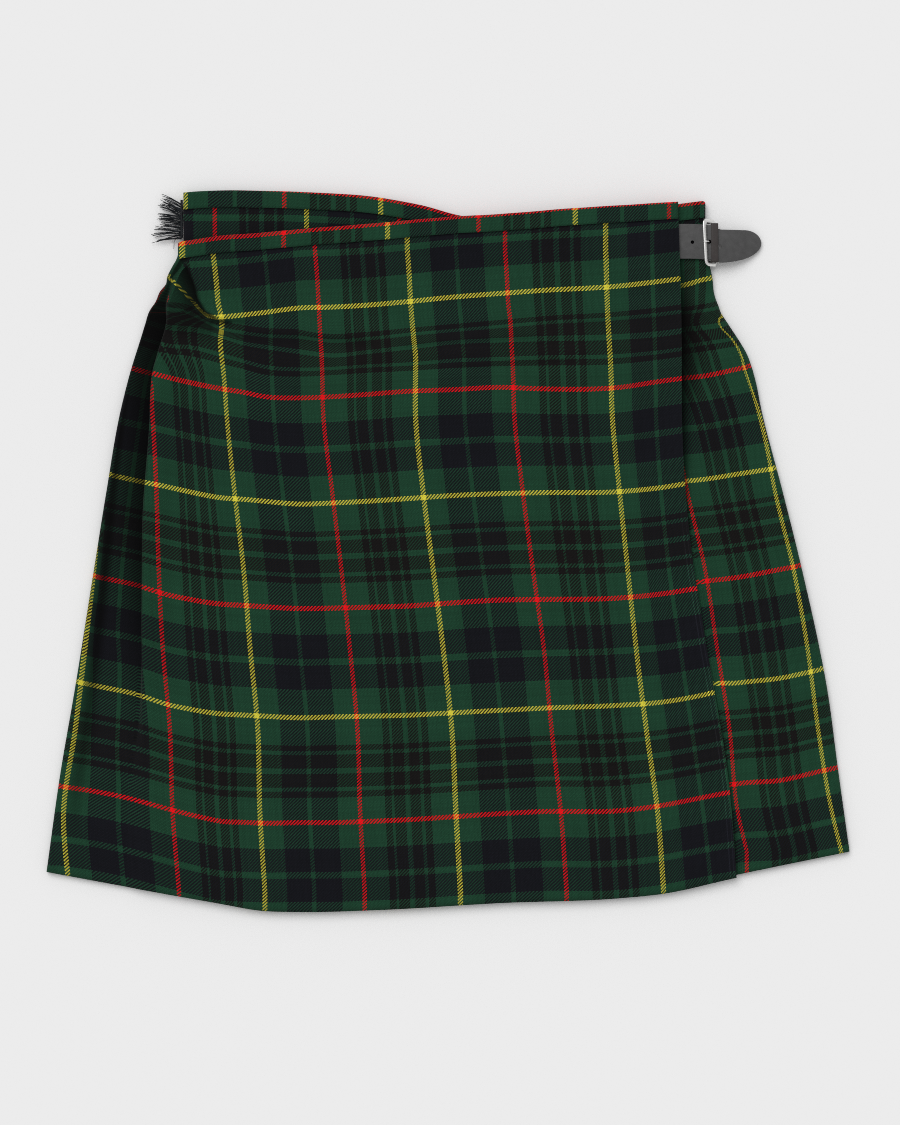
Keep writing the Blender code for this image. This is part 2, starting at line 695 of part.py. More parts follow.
def fringe(finish, group, cutters):
    """Strands of three sides whose roots are joined into a narrow strip beside the cloth's edge."""
    strip = bmesh.new()
    bmesh.ops.create_cube(strip, size=1.0)
    for vert in strip.verts:
        vert.co.x = (STRIP_X + vert.co.x * STRIP_WIDTH) * MM
        vert.co.y = ((FRINGE_TOP + FRINGE_BOTTOM) / 2 + vert.co.y * (FRINGE_TOP - FRINGE_BOTTOM)) * MM
        vert.co.z = (STRIP_Z + vert.co.z * STRIP_HEIGHT) * MM
    mesh = bpy.data.meshes.new("fringe")
    strip.to_mesh(mesh)
    strip.free()
    made = bpy.data.objects.new("fringe", mesh)
    mesh.materials.append(finish)
    group.objects.link(made)
    shape = bmesh.new()
    for number in range(FRINGE_STRANDS):
        turn = np.arange(STRAND_SIDES) * 2 * math.pi / STRAND_SIDES + number
        rings = []
        for step, middle in enumerate(strand_path(number)):
            thick = STRAND_RADIUS * (1 - 0.35 * step / STRAND_STEPS)
            ring = [middle + (0.0, thick * math.cos(a), thick * math.sin(a)) for a in turn]
            rings.append([shape.verts.new(point * MM) for point in ring])
        for one, two in zip(rings, rings[1:]):
            for side in range(STRAND_SIDES):
                after = (side + 1) % STRAND_SIDES
                shape.faces.new([one[side], one[after], two[after], two[side]])
        shape.faces.new(rings[0][::-1])
        shape.faces.new(rings[-1])
    bmesh.ops.recalc_face_normals(shape, faces=shape.faces)
    strands_mesh = bpy.data.meshes.new("strands")
    shape.to_mesh(strands_mesh)
    shape.free()
    strands = bpy.data.objects.new("strands", strands_mesh)
    strands.hide_render = True
    strands.display_type = "WIRE"
    cutters.objects.link(strands)
    join = made.modifiers.new("strands", "BOOLEAN")
    join.object = strands
    join.operation = "UNION"
    return made


def main():
    for old in list(bpy.data.objects):
        bpy.data.objects.remove(old, do_unlink=True)
    parts = bpy.data.collections.new(OBJECT)
    cutters = bpy.data.collections.new("cutters")
    bpy.context.scene.collection.children.link(parts)
    bpy.context.scene.collection.children.link(cutters)
    green = material("tartan_green", CLOTH_GREEN, 0.9)
    dark = material("tartan_dark", CLOTH_DARK, 0.9)
    leather = material("black_leather", LEATHER, 0.55)
    nickel = material("nickel", NICKEL, 0.25, 1.0)
    over_apron(green, parts)
    under_apron(green, parts)
    pleated_back(dark, parts)
    waistband_over(green, parts)
    waistband_under(green, parts)
    waistband_back(dark, parts)
    cut_holes(strap(leather, parts), cutters)
    keeper(leather, parts)
    buckle_tab(leather, parts)
    buckle_frame(nickel, parts)
    buckle_prong(nickel, parts)
    fringe(dark, parts, cutters)


main()
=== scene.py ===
"""A wrap kilt laid flat: fine cloth with its tartan, folds and sewing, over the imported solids.

Lengths in the tables are millimetres in the solids' frame: +X towards the buckle, +Y towards the
waist and +Z up from the floor. Cloth carries a UV map called threads, which counts warp threads
across and weft threads upwards, and the tartan is charted in those threads.
"""

import math

import bmesh
import bpy
import numpy as np
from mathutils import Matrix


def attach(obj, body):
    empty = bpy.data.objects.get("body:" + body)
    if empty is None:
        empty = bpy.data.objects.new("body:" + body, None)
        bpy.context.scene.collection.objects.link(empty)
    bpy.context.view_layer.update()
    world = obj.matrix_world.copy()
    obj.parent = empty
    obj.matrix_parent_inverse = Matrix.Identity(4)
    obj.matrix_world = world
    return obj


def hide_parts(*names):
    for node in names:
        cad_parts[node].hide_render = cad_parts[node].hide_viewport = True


bl_info = {
    "name": "Wrap kilt",
    "version": (1, 0, 0),
    "blender": (4, 5, 0),
    "location": "View3D > Sidebar > Kilt",
    "description": "Builds the cloth, leather and metal of a wrap kilt laid flat",
    "category": "Object",
}

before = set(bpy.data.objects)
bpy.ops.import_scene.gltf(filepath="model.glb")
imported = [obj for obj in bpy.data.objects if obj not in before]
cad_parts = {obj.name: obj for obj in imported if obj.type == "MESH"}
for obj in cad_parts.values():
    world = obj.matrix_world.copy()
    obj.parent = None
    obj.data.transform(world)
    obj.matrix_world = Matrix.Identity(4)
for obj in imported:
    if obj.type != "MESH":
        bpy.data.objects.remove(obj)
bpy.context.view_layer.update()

MM = 0.001
WALL = 1.0
SEAM = 0.3
BAND_DEPTH = 12.5
BAND_LIFT = WALL + SEAM
INTO_BAND = 8.0
OVER_WRAP_END = -190.0
OVER_BAND_EDGE = -196.0
UNDER_BAND_START = -193.6
UNDER_BAND_EDGE = 184.7
BACK_BAND_START = -189.5
UNDER_WRAP_END = 170.0
BACK_BAND_FOOT = 236.0
PLEATS = 17
PLEAT_RADIUS = (WALL + SEAM) / 2
PLEAT_STEP = 2.6
PLEAT_SHOW = 3.2
UNDERSIDE = WALL / 2
BAND_FLOOR = UNDERSIDE + BAND_LIFT
UNDER_BODY = 4.5
UNDER_WAIST = 5.8
OVER_BODY = 6.5
OVER_WAIST_LEFT = 7.9
OVER_WAIST_RIGHT = 10.0

# How the cloth lies below its band. Each pair is where a change starts and where it ends, across the
# kilt or down from the band's top. A band holds its layer up for a depth that grows to the right.
WAIST_STEP = (-95, -38)
OVER_HELD = (14.0, 46.0)
OVER_HELD_STEP = (90, 128)
OVER_SETTLES = 26
OVER_RELIEF_GROWS = (12, 32)
OVER_FOLDS_GROW = (14, 32)
UNDER_HELD = (13.0, 46.0)
UNDER_HELD_STEP = (95, 130)
UNDER_SETTLES = 22
UNDER_RELIEF_GROWS = (46, 66)
UNDER_FOLDS_GROW = (44, 60)
UNDER_FOLDS_START = (168, 180)
OVER_WRAP_HELD = 12.0
UNDER_WRAP_HELD = 46.0
WRAP_SETTLES = 16

# A gentle unevenness: the lengths and the directions of its sines, and for each piece how far it lifts
# the cloth and the turn that sets it apart from the others.
WAVE_LENGTHS = (61.0, 47.0, 83.0, 35.0)
WAVE_TURNS = (0.3, 1.2, 2.1, 2.8)
OVER_WAVE = (0.22, 0.0)
UNDER_WAVE = (0.2, 1.7)
OVER_BAND_WAVE = (0.25, 0.4)
UNDER_BAND_WAVE = (0.25, 1.1)

# Rows and columns of the cloth's grids: the share of a panel's rows in its upper part, the share of
# its height that this part takes, the heights from which an edge is closed in on and in how many
# steps, how the top run's columns crowd together, and the points of each run of a section.
OVER_GRID = (190, 190)
UNDER_GRID = (260, 60, 90)
BACK_ROWS = 40
UPPER_ROWS = 0.6
UPPER_PART = 0.3
EDGE_GUESS = (230.0, -240.0)
EDGE_STEPS = 5
TOP_CROWDING = 1.3
TURN_POINTS = 8
STRAIGHT_POINTS = 4
LOWER_POINTS = 26
NOSE_POINTS = 11
OVER_WRAP_POINTS = 12
UNDER_WRAP_POINTS = 10
HALF_TURN_POINTS = 7
QUARTER_TURN_POINTS = 4
PLEAT_FLAT_POINTS = 4
BAND_TURN_POINTS = 9
BAND_RUN_POINTS = 7
BAND_NOSE_POINTS = 12
OVER_BAND_POINTS = 170
UNDER_BAND_POINTS = 150
BACK_BAND_POINTS = 110

# A rod that stands up more than this sets its rings out from the Y axis, and any other from the Z axis.
STEEP = 0.8

# The silhouette's two sides: height up the kilt and place across it.
EDGE_POINT = ("y", "x")
LEFT_EDGE = (
    (254, -196.5),
    (222, -196.5),
    (211, -199.0),
    (204, -203.0),
    (198, -205.8),
    (193, -206.6),
    (188, -210.8),
    (180, -214.5),
    (174, -218.6),
    (164, -222.0),
    (153, -225.4),
    (130, -232.5),
    (101, -239.8),
    (43, -250.0),
    (-16, -259.5),
    (-103, -273.4),
    (-162, -283.6),
    (-236, -294.0),
)
RIGHT_EDGE = (
    (254, 185.1),
    (240, 185.3),
    (222, 187.0),
    (211, 188.7),
    (204, 190.3),
    (197, 191.8),
    (190, 192.4),
    (183, 193.9),
    (177, 196.2),
    (172, 198.0),
    (167, 201.2),
    (160, 205.8),
    (149, 213.0),
    (142, 216.9),
    (134, 219.9),
    (125, 222.6),
    (101, 227.6),
    (43, 242.7),
    (-16, 257.3),
    (-103, 275.6),
    (-162, 283.6),
    (-236, 294.0),
)

# The pleat fold at the over apron's left: height up the kilt, where its edge lies, the angle that
# the cloth turns through there, how far it drops to the layer below, and the radius of the turn. Then
# the least straight run between its two turns.
FOLD_COLUMNS = ("y", "edge", "turn", "drop", "radius")
APRON_FOLD = (
    (222, -188.0, 4, 0.2, 17.0),
    (211, -189.0, 4, 0.2, 17.0),
    (203, -196.0, 14, 0.8, 6.0),
    (190, -202.0, 45, 2.4, 3.0),
    (177, -206.0, 80, 4.2, 1.9),
    (166, -206.0, 105, 4.6, 1.5),
    (159, -207.3, 115, 4.6, 1.3),
    (149, -210.4, 122, 4.6, 1.2),
    (140, -213.0, 122, 4.6, 1.2),
    (130, -215.7, 122, 4.6, 1.2),
    (116, -217.2, 122, 4.6, 1.2),
    (94, -218.0, 122, 4.6, 1.2),
    (26, -223.0, 120, 4.6, 1.2),
    (-30, -223.7, 115, 4.6, 1.2),
    (-70, -224.0, 95, 4.2, 1.2),
    (-110, -224.0, 60, 3.6, 1.6),
    (-150, -224.0, 25, 3.0, 2.5),
    (-236, -224.0, 10, 2.2, 8.0),
)

LEAST_STRAIGHT = 0.4

# The ridge of the layer below the fold, towards the kilt's edge, and the share of the way over which
# it rises.
FLANK_COLUMNS = ("y", "rise")
FLANK_RIDGE = ((180, 0.0), (160, 0.6), (120, 2.6), (0, 2.8), (-110, 1.2), (-170, 0.0), (-236, 0.0))
RIDGE_RISES = (0.1, 0.9)

# The over apron's free edge and the under apron's hidden free edge, by height up the kilt.
EDGE_COLUMNS = ("y", "over", "under")
FREE_EDGES = (
    (254, 166.0, -194.0),
    (182, 168.3, -193.0),
    (60, 170.5, -190.0),
    (3, 175.6, -188.0),
    (-58, 185.0, -187.0),
    (-176, 204.0, -185.0),
    (-240, 209.0, -184.0),
)

# The top edge of each waistband, by place across the kilt.
TOP_COLUMNS = ("x", "over", "under", "back")
TOPS = (
    (-197, 223.7, 259.5, 226.0),
    (-186, 225.4, 260.6, 230.0),
    (-167, 228.1, 261.2, 238.0),
    (-138, 230.3, 261.0, 246.5),
    (-109, 232.9, 260.3, 250.0),
    (-80, 235.1, 258.8, 250.0),
    (-51, 237.4, 256.2, 247.0),
    (-21, 239.9, 250.7, 242.0),
    (11, 242.3, 242.6, 237.5),
    (37, 243.9, 241.3, 237.0),
    (95, 248.3, 245.0, 241.0),
    (154, 252.0, 250.0, 247.0),
    (186, 254.0, 253.7, 251.0),
)

# The hem, by place across the kilt.
HEM_COLUMNS = ("x", "y")
HEM = (
    (-294, -235.0),
    (-226, -247.5),
    (-167, -258.0),
    (-138, -263.0),
    (-109, -264.0),
    (-50, -262.5),
    (37, -257.5),
    (124, -254.0),
    (154, -251.0),
    (209, -239.0),
    (294, -221.5),
)
UNDER_HEM_RISE = 1.8
BACK_HEM_RISE = 4.0

# Soft ridges and troughs: both ends, half width and height. Each fades out past its ends over a few
# half widths.
FOLD_FADE = 1.5
RELIEF_COLUMNS = ("x0", "y0", "x1", "y1", "width", "height")
OVER_RELIEF = (
    (-186, 205, -182, 165, 26, 1.8),
    (-198, 203, -197, 172, 8, 2.2),
    (-190, 212, -178, 178, 6, -2.2),
    (-170, 168, -70, 158, 9, 1.6),
    (-165, 150, -60, 146, 9, -0.9),
    (-40, 150, 130, 158, 12, 1.1),
    (-208, 120, -212, 20, 10, 1.0),
)
OVER_FOLDS = (
    (-199, 206, -192, 178, 5.0, 1.4),
    (-206, 168, -202, 152, 6.0, 0.8),
    (-176, 166, -140, 156, 4.0, 0.9),
    (-150, 158, -60, 152, 5.0, 0.8),
    (-120, 141, 20, 143, 5.5, 0.7),
    (-60, 128, 60, 132, 7.0, 0.5),
    (40, 156, 140, 162, 6.0, 0.6),
    (60, 140, 150, 150, 6.0, 0.5),
    (-214, 140, -221, -50, 13.0, 4.2),
    (168, 172, 171, 70, 12.0, 3.2),
    (171, 40, 182, -40, 8.0, 0.9),
    (182, -60, 204, -230, 7.0, 0.7),
)
UNDER_RELIEF = (
    (196, 178, 214, 135, 6, 1.2),
    (230, 100, 275, -120, 12, 1.2),
)
UNDER_FOLDS = (
    (192, 176, 199, 160, 4.0, 1.5),
    (204, 160, 226, 118, 5.0, 1.4),
    (186, 150, 200, 100, 7.0, 0.5),
    (180, 190, 184, 120, 5.0, -0.4),
    (240, 60, 262, -60, 7.0, 0.6),
)

# Sharp creases: both ends, how far the dip fades on the left of the line or below it, how far it
# sinks in millimetres, and how much painted shade darkens the cloth down in it.
CREASE_COLUMNS = ("x0", "y0", "x1", "y1", "fade", "sink", "shade")
OVER_CREASES = (
    (-195, 214, -190.5, 203, 6.0, 1.8, 0.80),
    (-190.5, 203, -186.5, 193, 11.0, 2.4, 0.97),
    (-186.5, 193, -184, 183, 10.0, 2.6, 0.97),
    (-184, 183, -178, 173, 6.0, 2.0, 0.92),
    (-178, 173, -170.5, 168.0, 2.8, 1.0, 0.88),
    (-172, 166.3, -160, 165.6, 2.8, 0.5, 0.90),
    (-168, 167, -150, 166, 4.0, 0.7, 0.35),
    (-146, 157, -60, 152, 4.0, 0.7, 0.18),
    (-30, 149, 60, 155, 3.5, 0.6, 0.15),
    (10, 133, 90, 138, 3.5, 0.5, 0.12),
    (95, 165, 160, 170, 4.0, 0.5, 0.15),
)
UNDER_CREASES = (
    (207, 150, 201, 168, 5.0, -0.2, 0.0),
    (216, 140, 202, 165, 5.0, 0.4, 0.45),
)
CREASE_EDGE = 1.3

# The painted shadow on the strip next to the over apron's free edge: its width and its depth, where
# it starts across the kilt, how far under the edge the strip's close columns go, and the room for its
# nose.
GAP_PAINTED_SHADOW_COLUMNS = ("y", "width", "shade")
GAP_PAINTED_SHADOW = (
    (240, 3.0, 0.40),
    (205, 4.0, 0.60),
    (185, 7.0, 0.78),
    (160, 13.0, 0.92),
    (128, 12.0, 0.90),
    (100, 8.0, 0.80),
    (60, 4.0, 0.65),
    (-240, 2.5, 0.50),
)
GAP_PAINTED_SHADOW_STARTS = (150, 168)
COVERED = 12.0
NOSE_ROOM = 2.2

# Painted shade on the layer next to the fold: at the fold and towards the kilt's edge, and the
# distance over which it changes from one to the other.
FLANK_PAINTED_SHADE_COLUMNS = ("y", "inner", "outer")
FLANK_PAINTED_SHADE = (
    (215, 0.10, 0.0),
    (185, 0.80, 0.70),
    (174, 0.93, 0.90),
    (160, 0.93, 0.84),
    (140, 0.88, 0.66),
    (100, 0.84, 0.52),
    (0, 0.74, 0.32),
    (-80, 0.45, 0.10),
    (-130, 0.12, 0.0),
    (-236, 0.0, 0.0),
)
FLANK_PAINTED_SHADE_FADE = 22.0

# The valley right of the far yellow line, where the cloth is tucked in: the threads that it hides and
# how dark its painted shade is, then where it starts, ends and where its painted shade is darkest,
# from that line, and how wide that painted shade is.
VALLEY_COLUMNS = ("y", "threads", "shade")
VALLEY = (
    (100, 24, 0.85),
    (-40, 24, 0.85),
    (-60, 22, 0.82),
    (-81, 16, 0.76),
    (-124, 9, 0.62),
    (-156, 4.5, 0.48),
    (-190, 0, 0.25),
    (-220, 0, 0.0),
)
VALLEY_START, VALLEY_END, PAINTED_VALLEY_MIDDLE, PAINTED_VALLEY_WIDTH = 3.0, 5.5, 8.0, 5.5

# The back's pleated part, between the two wraps: its edges at the waist and at the hem, the room at
# its seams, the share of a pitch left flat after the last pleat, where the flat's first point is, and
# the least shelf that the over apron's lower layer keeps beside its nose.
BACK_LEFT = (-184.0, -214.0)
BACK_RIGHT = (160.0, 258.0)
BACK_SEAM = 0.8
PLEAT_SPARE = 0.55
PLEAT_END = 1.0
SHELF_LEAST = 1.5

# Warp lines of the aprons: height up the kilt, then where the middle of each red or yellow line lies,
# and of the narrow green stripe beside the free edge.
OVER_WARP_COLUMNS = (
    "y", "yellow_far", "red_far", "yellow_1", "red_1", "yellow_2", "red_2", "yellow_3", "stripe",
)
OVER_WARP = (
    (218, -201, -243.0, -172.3, -98.2, -30.7, 40.1, 113.5, 147.0),
    (204, -206.5, -242.0, -170.6, -97.0, -29.6, 41.1, 114.1, 147.2),
    (192, -211.0, -241.0, -169.3, -96.2, -28.9, 41.8, 114.5, 147.6),
    (180, -218.5, -240.0, -168.3, -95.6, -28.3, 42.4, 114.8, 148.1),
    (166, -225.5, -237.0, -165.4, -94.8, -27.2, 44.0, 115.4, 148.6),
    (150, -231.0, -232.0, -166.7, -93.9, -25.6, 44.8, 116.3, 149.1),
    (140, -237.0, -226.0, -165.8, -93.3, -24.6, 45.4, 117.0, 149.3),
    (132, -240, -220.5, -164.8, -93.0, -24.6, 45.8, 117.4, 149.5),
    (124, -242, -217.8, -164.0, -92.8, -24.7, 46.1, 117.7, 149.7),
    (101, -245.6, -216.1, -162.4, -92.3, -24.8, 46.7, 118.3, 149.9),
    (43, -252.9, -213.2, -156.6, -85.8, -19.3, 52.9, 123.7, 153.6),
    (-16, -259.1, -211.7, -149.7, -78.8, -11.7, 60.6, 129.9, 159.6),
    (-74, -265.7, -208.8, -144.9, -72.6, -4.4, 68.6, 136.1, 167.9),
    (-132, -272.7, -203.7, -139.4, -67.2, 1.8, 74.1, 143.4, 176.2),
    (-191, -281.1, -201.8, -138.0, -65.3, 4.7, 80.7, 151.5, 184.3),
    (-249, -277.0, -197.1, -134.3, -62.0, 8.0, 85.0, 155.9, 190.5),
)
UNDER_WARP_COLUMNS = ("y", "red", "yellow", "wide")
UNDER_WARP = (
    (218, 131.0, 205.0, 3.05),
    (185, 132.5, 204.0, 3.05),
    (176, 133.0, 202.5, 2.4),
    (171, 134.0, 198.3, 1.4),
    (165, 135.0, 196.2, 1.2),
    (161, 136.0, 198.2, 1.2),
    (154, 139.0, 204.8, 1.4),
    (142, 143.0, 211.9, 1.7),
    (132, 146.0, 214.7, 1.9),
    (115, 153.0, 220.6, 2.1),
    (101, 158.8, 224.5, 2.2),
    (72, 166.8, 231.4, 2.6),
    (43, 172.6, 236.9, 2.9),
    (-16, 186.0, 250.8, 3.05),
    (-74, 194.8, 261.0, 3.05),
    (-132, 203.7, 268.6, 3.05),
    (-191, 209.5, 278.5, 3.05),
    (-220, 216.1, 285.4, 3.05),
)
UNDER_WAIST_LINES = {"red_a": -171.2, "yellow_a": -104.0, "red_b": -36.9, "yellow_b": 47.0}

# Weft lines of the aprons: place across the kilt, then the height of each line's middle.
WEFT_COLUMNS = (
    "x", "yellow_1", "green_a", "green_b", "green_c", "red_1", "yellow_2", "red_2", "yellow_3", "red_3",
)
OVER_WEFT = (
    (-284, 215.0, 191.0, 179.0, 166.7, 142.0, 62.0, -14.2, -93.8, -172.6),
    (-255, 209.1, 185.2, 173.2, 160.7, 136.1, 55.8, -20.4, -100.0, -177.0),
    (-226, 201.8, 178.4, 166.7, 154.5, 130.3, 49.6, -26.6, -106.2, -183.2),
    (-203, 196.7, 173.8, 160.8, 147.8, 124.5, 44.9, -33.6, -113.5, -189.4),
    (-190, 183.5, 171.4, 159.9, 147.1, 121.6, 42.0, -36.2, -116.1, -192.8),
    (-176, 170.0, 164.0, 157.6, 144.2, 118.6, 39.1, -38.7, -118.6, -196.0),
    (-167, 168.8, 160.2, 155.2, 141.5, 117.0, 37.6, -39.8, -119.7, -197.8),
    (-150, 170.4, 156.8, 149.9, 136.8, 114.3, 36.4, -40.8, -120.6, -198.7),
    (-135, 172.2, 154.9, 147.4, 132.8, 111.2, 35.0, -41.8, -121.4, -199.3),
    (-109, 175.6, 153.8, 143.5, 130.9, 110.2, 32.9, -43.1, -122.6, -198.9),
    (-85, 176.3, 151.1, 140.8, 131.7, 111.1, 33.7, -42.8, -122.0, -198.9),
    (-61, 177.6, 152.6, 143.2, 133.3, 112.7, 34.9, -42.2, -121.5, -198.1),
    (-29, 180.4, 155.8, 146.7, 134.8, 115.1, 37.0, -41.2, -120.7, -196.7),
    (2, 183.5, 158.6, 150.4, 137.2, 116.2, 39.1, -39.0, -119.0, -194.7),
    (37, 186.2, 161.5, 152.0, 138.5, 117.9, 40.5, -36.9, -117.2, -192.4),
    (66, 188.3, 164.0, 153.0, 139.5, 116.8, 41.2, -36.5, -115.7, -190.9),
    (124, 191.6, 167.5, 154.3, 140.8, 117.9, 42.0, -35.4, -113.5, -190.2),
    (154, 195.0, 170.5, 156.4, 143.5, 122.3, 44.9, -32.5, -111.3, -186.5),
    (179, 198.3, 173.4, 159.9, 146.9, 125.4, 49.0, -28.6, -107.2, -181.7),
    (198, 201.1, 176.3, 163.2, 150.0, 128.2, 51.8, -25.6, -103.0, -177.9),
    (212, 203.1, 178.4, 165.5, 152.0, 130.2, 53.9, -23.6, -100.6, -175.6),
)
UNDER_WEFT = (
    (-190, 202.0, 177.0, 164.0, 151.0, 125.0, 50.0, -25.0, -107.0, -182.0),
    (-100, 201.0, 176.0, 164.0, 151.0, 125.0, 50.0, -25.0, -107.0, -182.0),
    (-40, 196.0, 173.0, 161.0, 149.0, 125.0, 50.0, -25.0, -107.0, -182.0),
    (10, 184.0, 165.0, 156.0, 146.0, 125.0, 50.0, -25.0, -107.0, -182.0),
    (100, 187.0, 167.0, 157.0, 147.0, 125.0, 50.0, -25.0, -107.0, -182.0),
    (176, 193.8, 172.4, 160.4, 148.6, 125.2, 50.0, -24.8, -106.9, -182.1),
    (183, 196.0, 173.2, 161.0, 149.6, 125.9, 50.7, -23.7, -101.6, -177.4),
    (212, 198.9, 177.5, 165.5, 154.0, 131.8, 55.1, -20.1, -97.1, -170.5),
    (241, 203.3, 182.5, 170.5, 159.0, 137.6, 59.5, -14.6, -93.8, -168.3),
    (270, 207.7, 187.5, 175.5, 164.5, 143.4, 63.9, -9.1, -87.6, -161.7),
    (294, 210.6, 191.0, 179.5, 168.5, 147.8, 68.3, -4.0, -82.9, -156.6),
)

# Vertical lines that cross the waistbands: where the middle of each lies.
OVER_BAND_LINES = (-193.8, -120.8, -44.9, 20.8, 91.3, 159.1)
UNDER_BAND_LINES = (-192.2, -120.5, -50.0, 20.5, 88.4, 159.2)

# The tartan, as stripes and the threads in each, to the right along the warp and upwards along the weft.
CHART_COLUMNS = ("dye", "warp", "weft")
CHART = (
    ("yellow", 6, 6),
    ("green", 24, 31),
    ("navy", 28, 28),
    ("green", 6, 9),
    ("navy", 29, 29),
    ("green", 23, 29),
    ("red", 6, 6),
    ("green", 26, 28),
    ("black", 8, 8),
    ("green", 4, 5),
    ("black", 12, 16),
    ("green", 7, 8),
    ("black", 12, 16),
    ("green", 4, 5),
    ("black", 8, 8),
    ("green", 25, 32),
)
WARP_REPEAT = sum(row[1] for row in CHART)
WEFT_REPEAT = sum(row[2] for row in CHART)
WARP_PITCH = 0.61
WEFT_PITCH = 0.589
WARP_YELLOW, WARP_STRIPE, WARP_RED = 3.0, 61.0, 119.0
RED_THREADS = 6
WEFT_YELLOW, WEFT_RED = 3.0, 135.0
WEFT_GREEN = {"green_c": 176.5, "green_b": 199.0, "green_a": 221.5}
HEM_THREAD = 30.0

# The height at which the over band's free end is read, and where the back band ends. Then the weft
# thread on each band's top edge, counted from the red line and changing across the kilt.
BAND_LEVEL = 250.0
BACK_BAND_END = UNDER_WRAP_END - 0.5
OVER_CREST = (3.2, -0.3)
OVER_CREST_ACROSS = (-190, 150)
UNDER_CREST = (-6.0, -2.2)
UNDER_CREST_ACROSS = (-178, -165)
UNDER_CREST_CLIMB = 3.9
UNDER_CLIMB_ACROSS = (-165, -30)
BACK_CREST = WEFT_RED - 2

# The yarns of the twill: each has a number that its own shade starts from, dips across itself and
# along each float, and has a crown. These give the yarn's height, and painted shade follows that
# height, darker where the yarn dips. Then how far shades differ, and the fuzz and the cloudiness of
# the nap. A noise's look is its scale and its detail.
YARNS = {
    "weft": {"seed": 5.7, "across_dip": 0.30, "along_dip": 0.36, "crown": 1.12},
    "warp": {"seed": 17.3, "across_dip": 0.42, "along_dip": 0.46, "crown": 1.02},
}
OWN_SHADE = (0.26, 0.87)
LOWER_SHOWS = 0.28
FIBRE = 0.22
FUZZ_LOOK = (1.7, 3.0)
CLOUD_LOOK = (0.021, 2.0)
CLOUD_SHADE = (0.24, 0.88)
YARN_BUMP = 0.6

# The other finishes: the looks of their noises, shares of the plain colour where it is darkest and
# palest, and roughness as the noise's share and the least of it.
GRAIN = 0.0009
SWELL_LOOK = (0.22, 4.0)
SWELL_HEIGHT = 1.4
PEBBLE_HEIGHT = -0.8
LEATHER_SHADES = (0.72, 1.35)
LEATHER_ROUGH = (-0.18, 0.68)
LEATHER_BUMP = (0.5, 0.0001)
MARKS_LOOK = (900.0, 4.0)
NICKEL_SHADE = 0.75
NICKEL_ROUGH = (0.14, 0.26)
STREAK_LOOK = (420.0, 3.0)
YARN_SHADES = (0.45, 2.4)

# Which sockets of a Mix node take its share and its two colours or numbers.
COLOUR_INPUTS = (0, 6, 7)
COLOUR_OUTPUT = 2
NUMBER_INPUTS = (0, 2, 3)

# The flap left of the top yellow line's crossing: the crease beside it, where the line would run on
# level behind the crease, and how far below the line the cloth is tucked in. Then the flap's own
# threads, the painted shade that darkens it and how wide it is, and where both start and end up the kilt.
CREASE_POINT = ("y", "x")
LEVEL_COLUMNS = ("x", "y")
CREASE_PATH = ((214, -195), (203, -190.5), (193, -186.5), (183, -184), (173, -178), (169, -170.5))
LEVEL_YELLOW = ((-215, 166.0), (-190, 167.5), (-176, 168.4), (-167, 168.8), (-150, 170.4))
TUCK = 3.2
TUCK_STEP = 0.7
TUCK_END = -170
LEVEL_END = -150
LINES_PART = (21, 24)
CREASE_SOFT = 0.6
FLAP_GREEN = 149.0
FLAP_PITCH = 0.75
FLAP_THREADS = 25.0
FLAP_GROWS = (160, 182)
FLAP_BELOW = (170, 172.5)
FLAP_PAINTED_SHADE = 0.5
FLAP_PAINTED_SHADE_WIDTH = 4
FLAP_PAINTED_SHADE_FOOT = (145, 165)
FLAP_PAINTED_SHADE_HEAD = (214, 200)

# Where along the fold the threads change over, and where up the kilt the fold opens towards the hem.
FOLD_JUMP = (0.5, 0.75)
FOLD_OPENS = (-138, -183)

# The over apron's free edge and the two sewn lines inside it: the distances of the first columns from
# the edge, the clear cloth after them, the painted highlight that lightens the edge, the column on each
# sewn line with how much lighter it is, and the heights where the lines start to show and show in full.
SEWN_EDGE = (0.0, 1.0, 1.6, 2.2, 3.7, 4.3, 4.9)
SEWN_CLEAR = 1.5
EDGE_PAINTED_HIGHLIGHT = 0.25
SEWN_LINES = ((2, 0.9), (5, 1.2))
SEWN_FADE = (40, -10)

# The strap, its buckle and the tab that holds the buckle.
STRAP_WIDTH = 25.4
STRAP_THICK = 1.8
STRAP_START = 152.0
STRAP_TIP = 227.4
TIP_Y = 223.0
TIP_TOP_LENGTH = 11.8
TIP_TOP_RISE = 9.4
TIP_LOW_LENGTH = 32.4
TIP_LOW_RISE = 14.6
STRAP_COLUMNS = ("x", "y", "z")
STRAP_PATH = (
    (152, 224.0, 7.55),
    (165, 224.0, 7.55),
    (176, 224.0, 7.55),
    (185, 223.6, 7.65),
    (190, 223.1, 9.1),
    (195.5, 222.5, 9.1),
    (200, 221.9, 8.8),
    (206, 221.2, 7.6),
    (215, 220.6, 4.9),
    (222, 220.4, 2.9),
    (227.4, 220.3, 2.0),
)
STRAP_TAPERS = (190.0, 198.0)
STRAP_SOFT = 0.45
LEAST_HALF = 0.05
POINT_START = 14.0
POINT_LENGTH = 13.5
POINT_END = 0.03
BODY_STEPS = 70
POINT_STEPS = 30
CORNER_POINTS = 4
PUNCHED_HOLES = ((176.7, 223.4), (196.4, 220.1))
PRONG_HOLE = (188.9, 223.6)
PRONG_PATH = (
    (189.9, 5.2),
    (189.1, 7.2),
    (188.7, 9.6),
    (188.3, 11.6),
    (187.2, 12.45),
    (185.6, 12.5),
    (184.6, 12.1),
)
PRONG_RADIUS = 0.6
PRONG_POINTS = 28
PRONG_SIDES = 12
PRONG_TAPER = 0.8
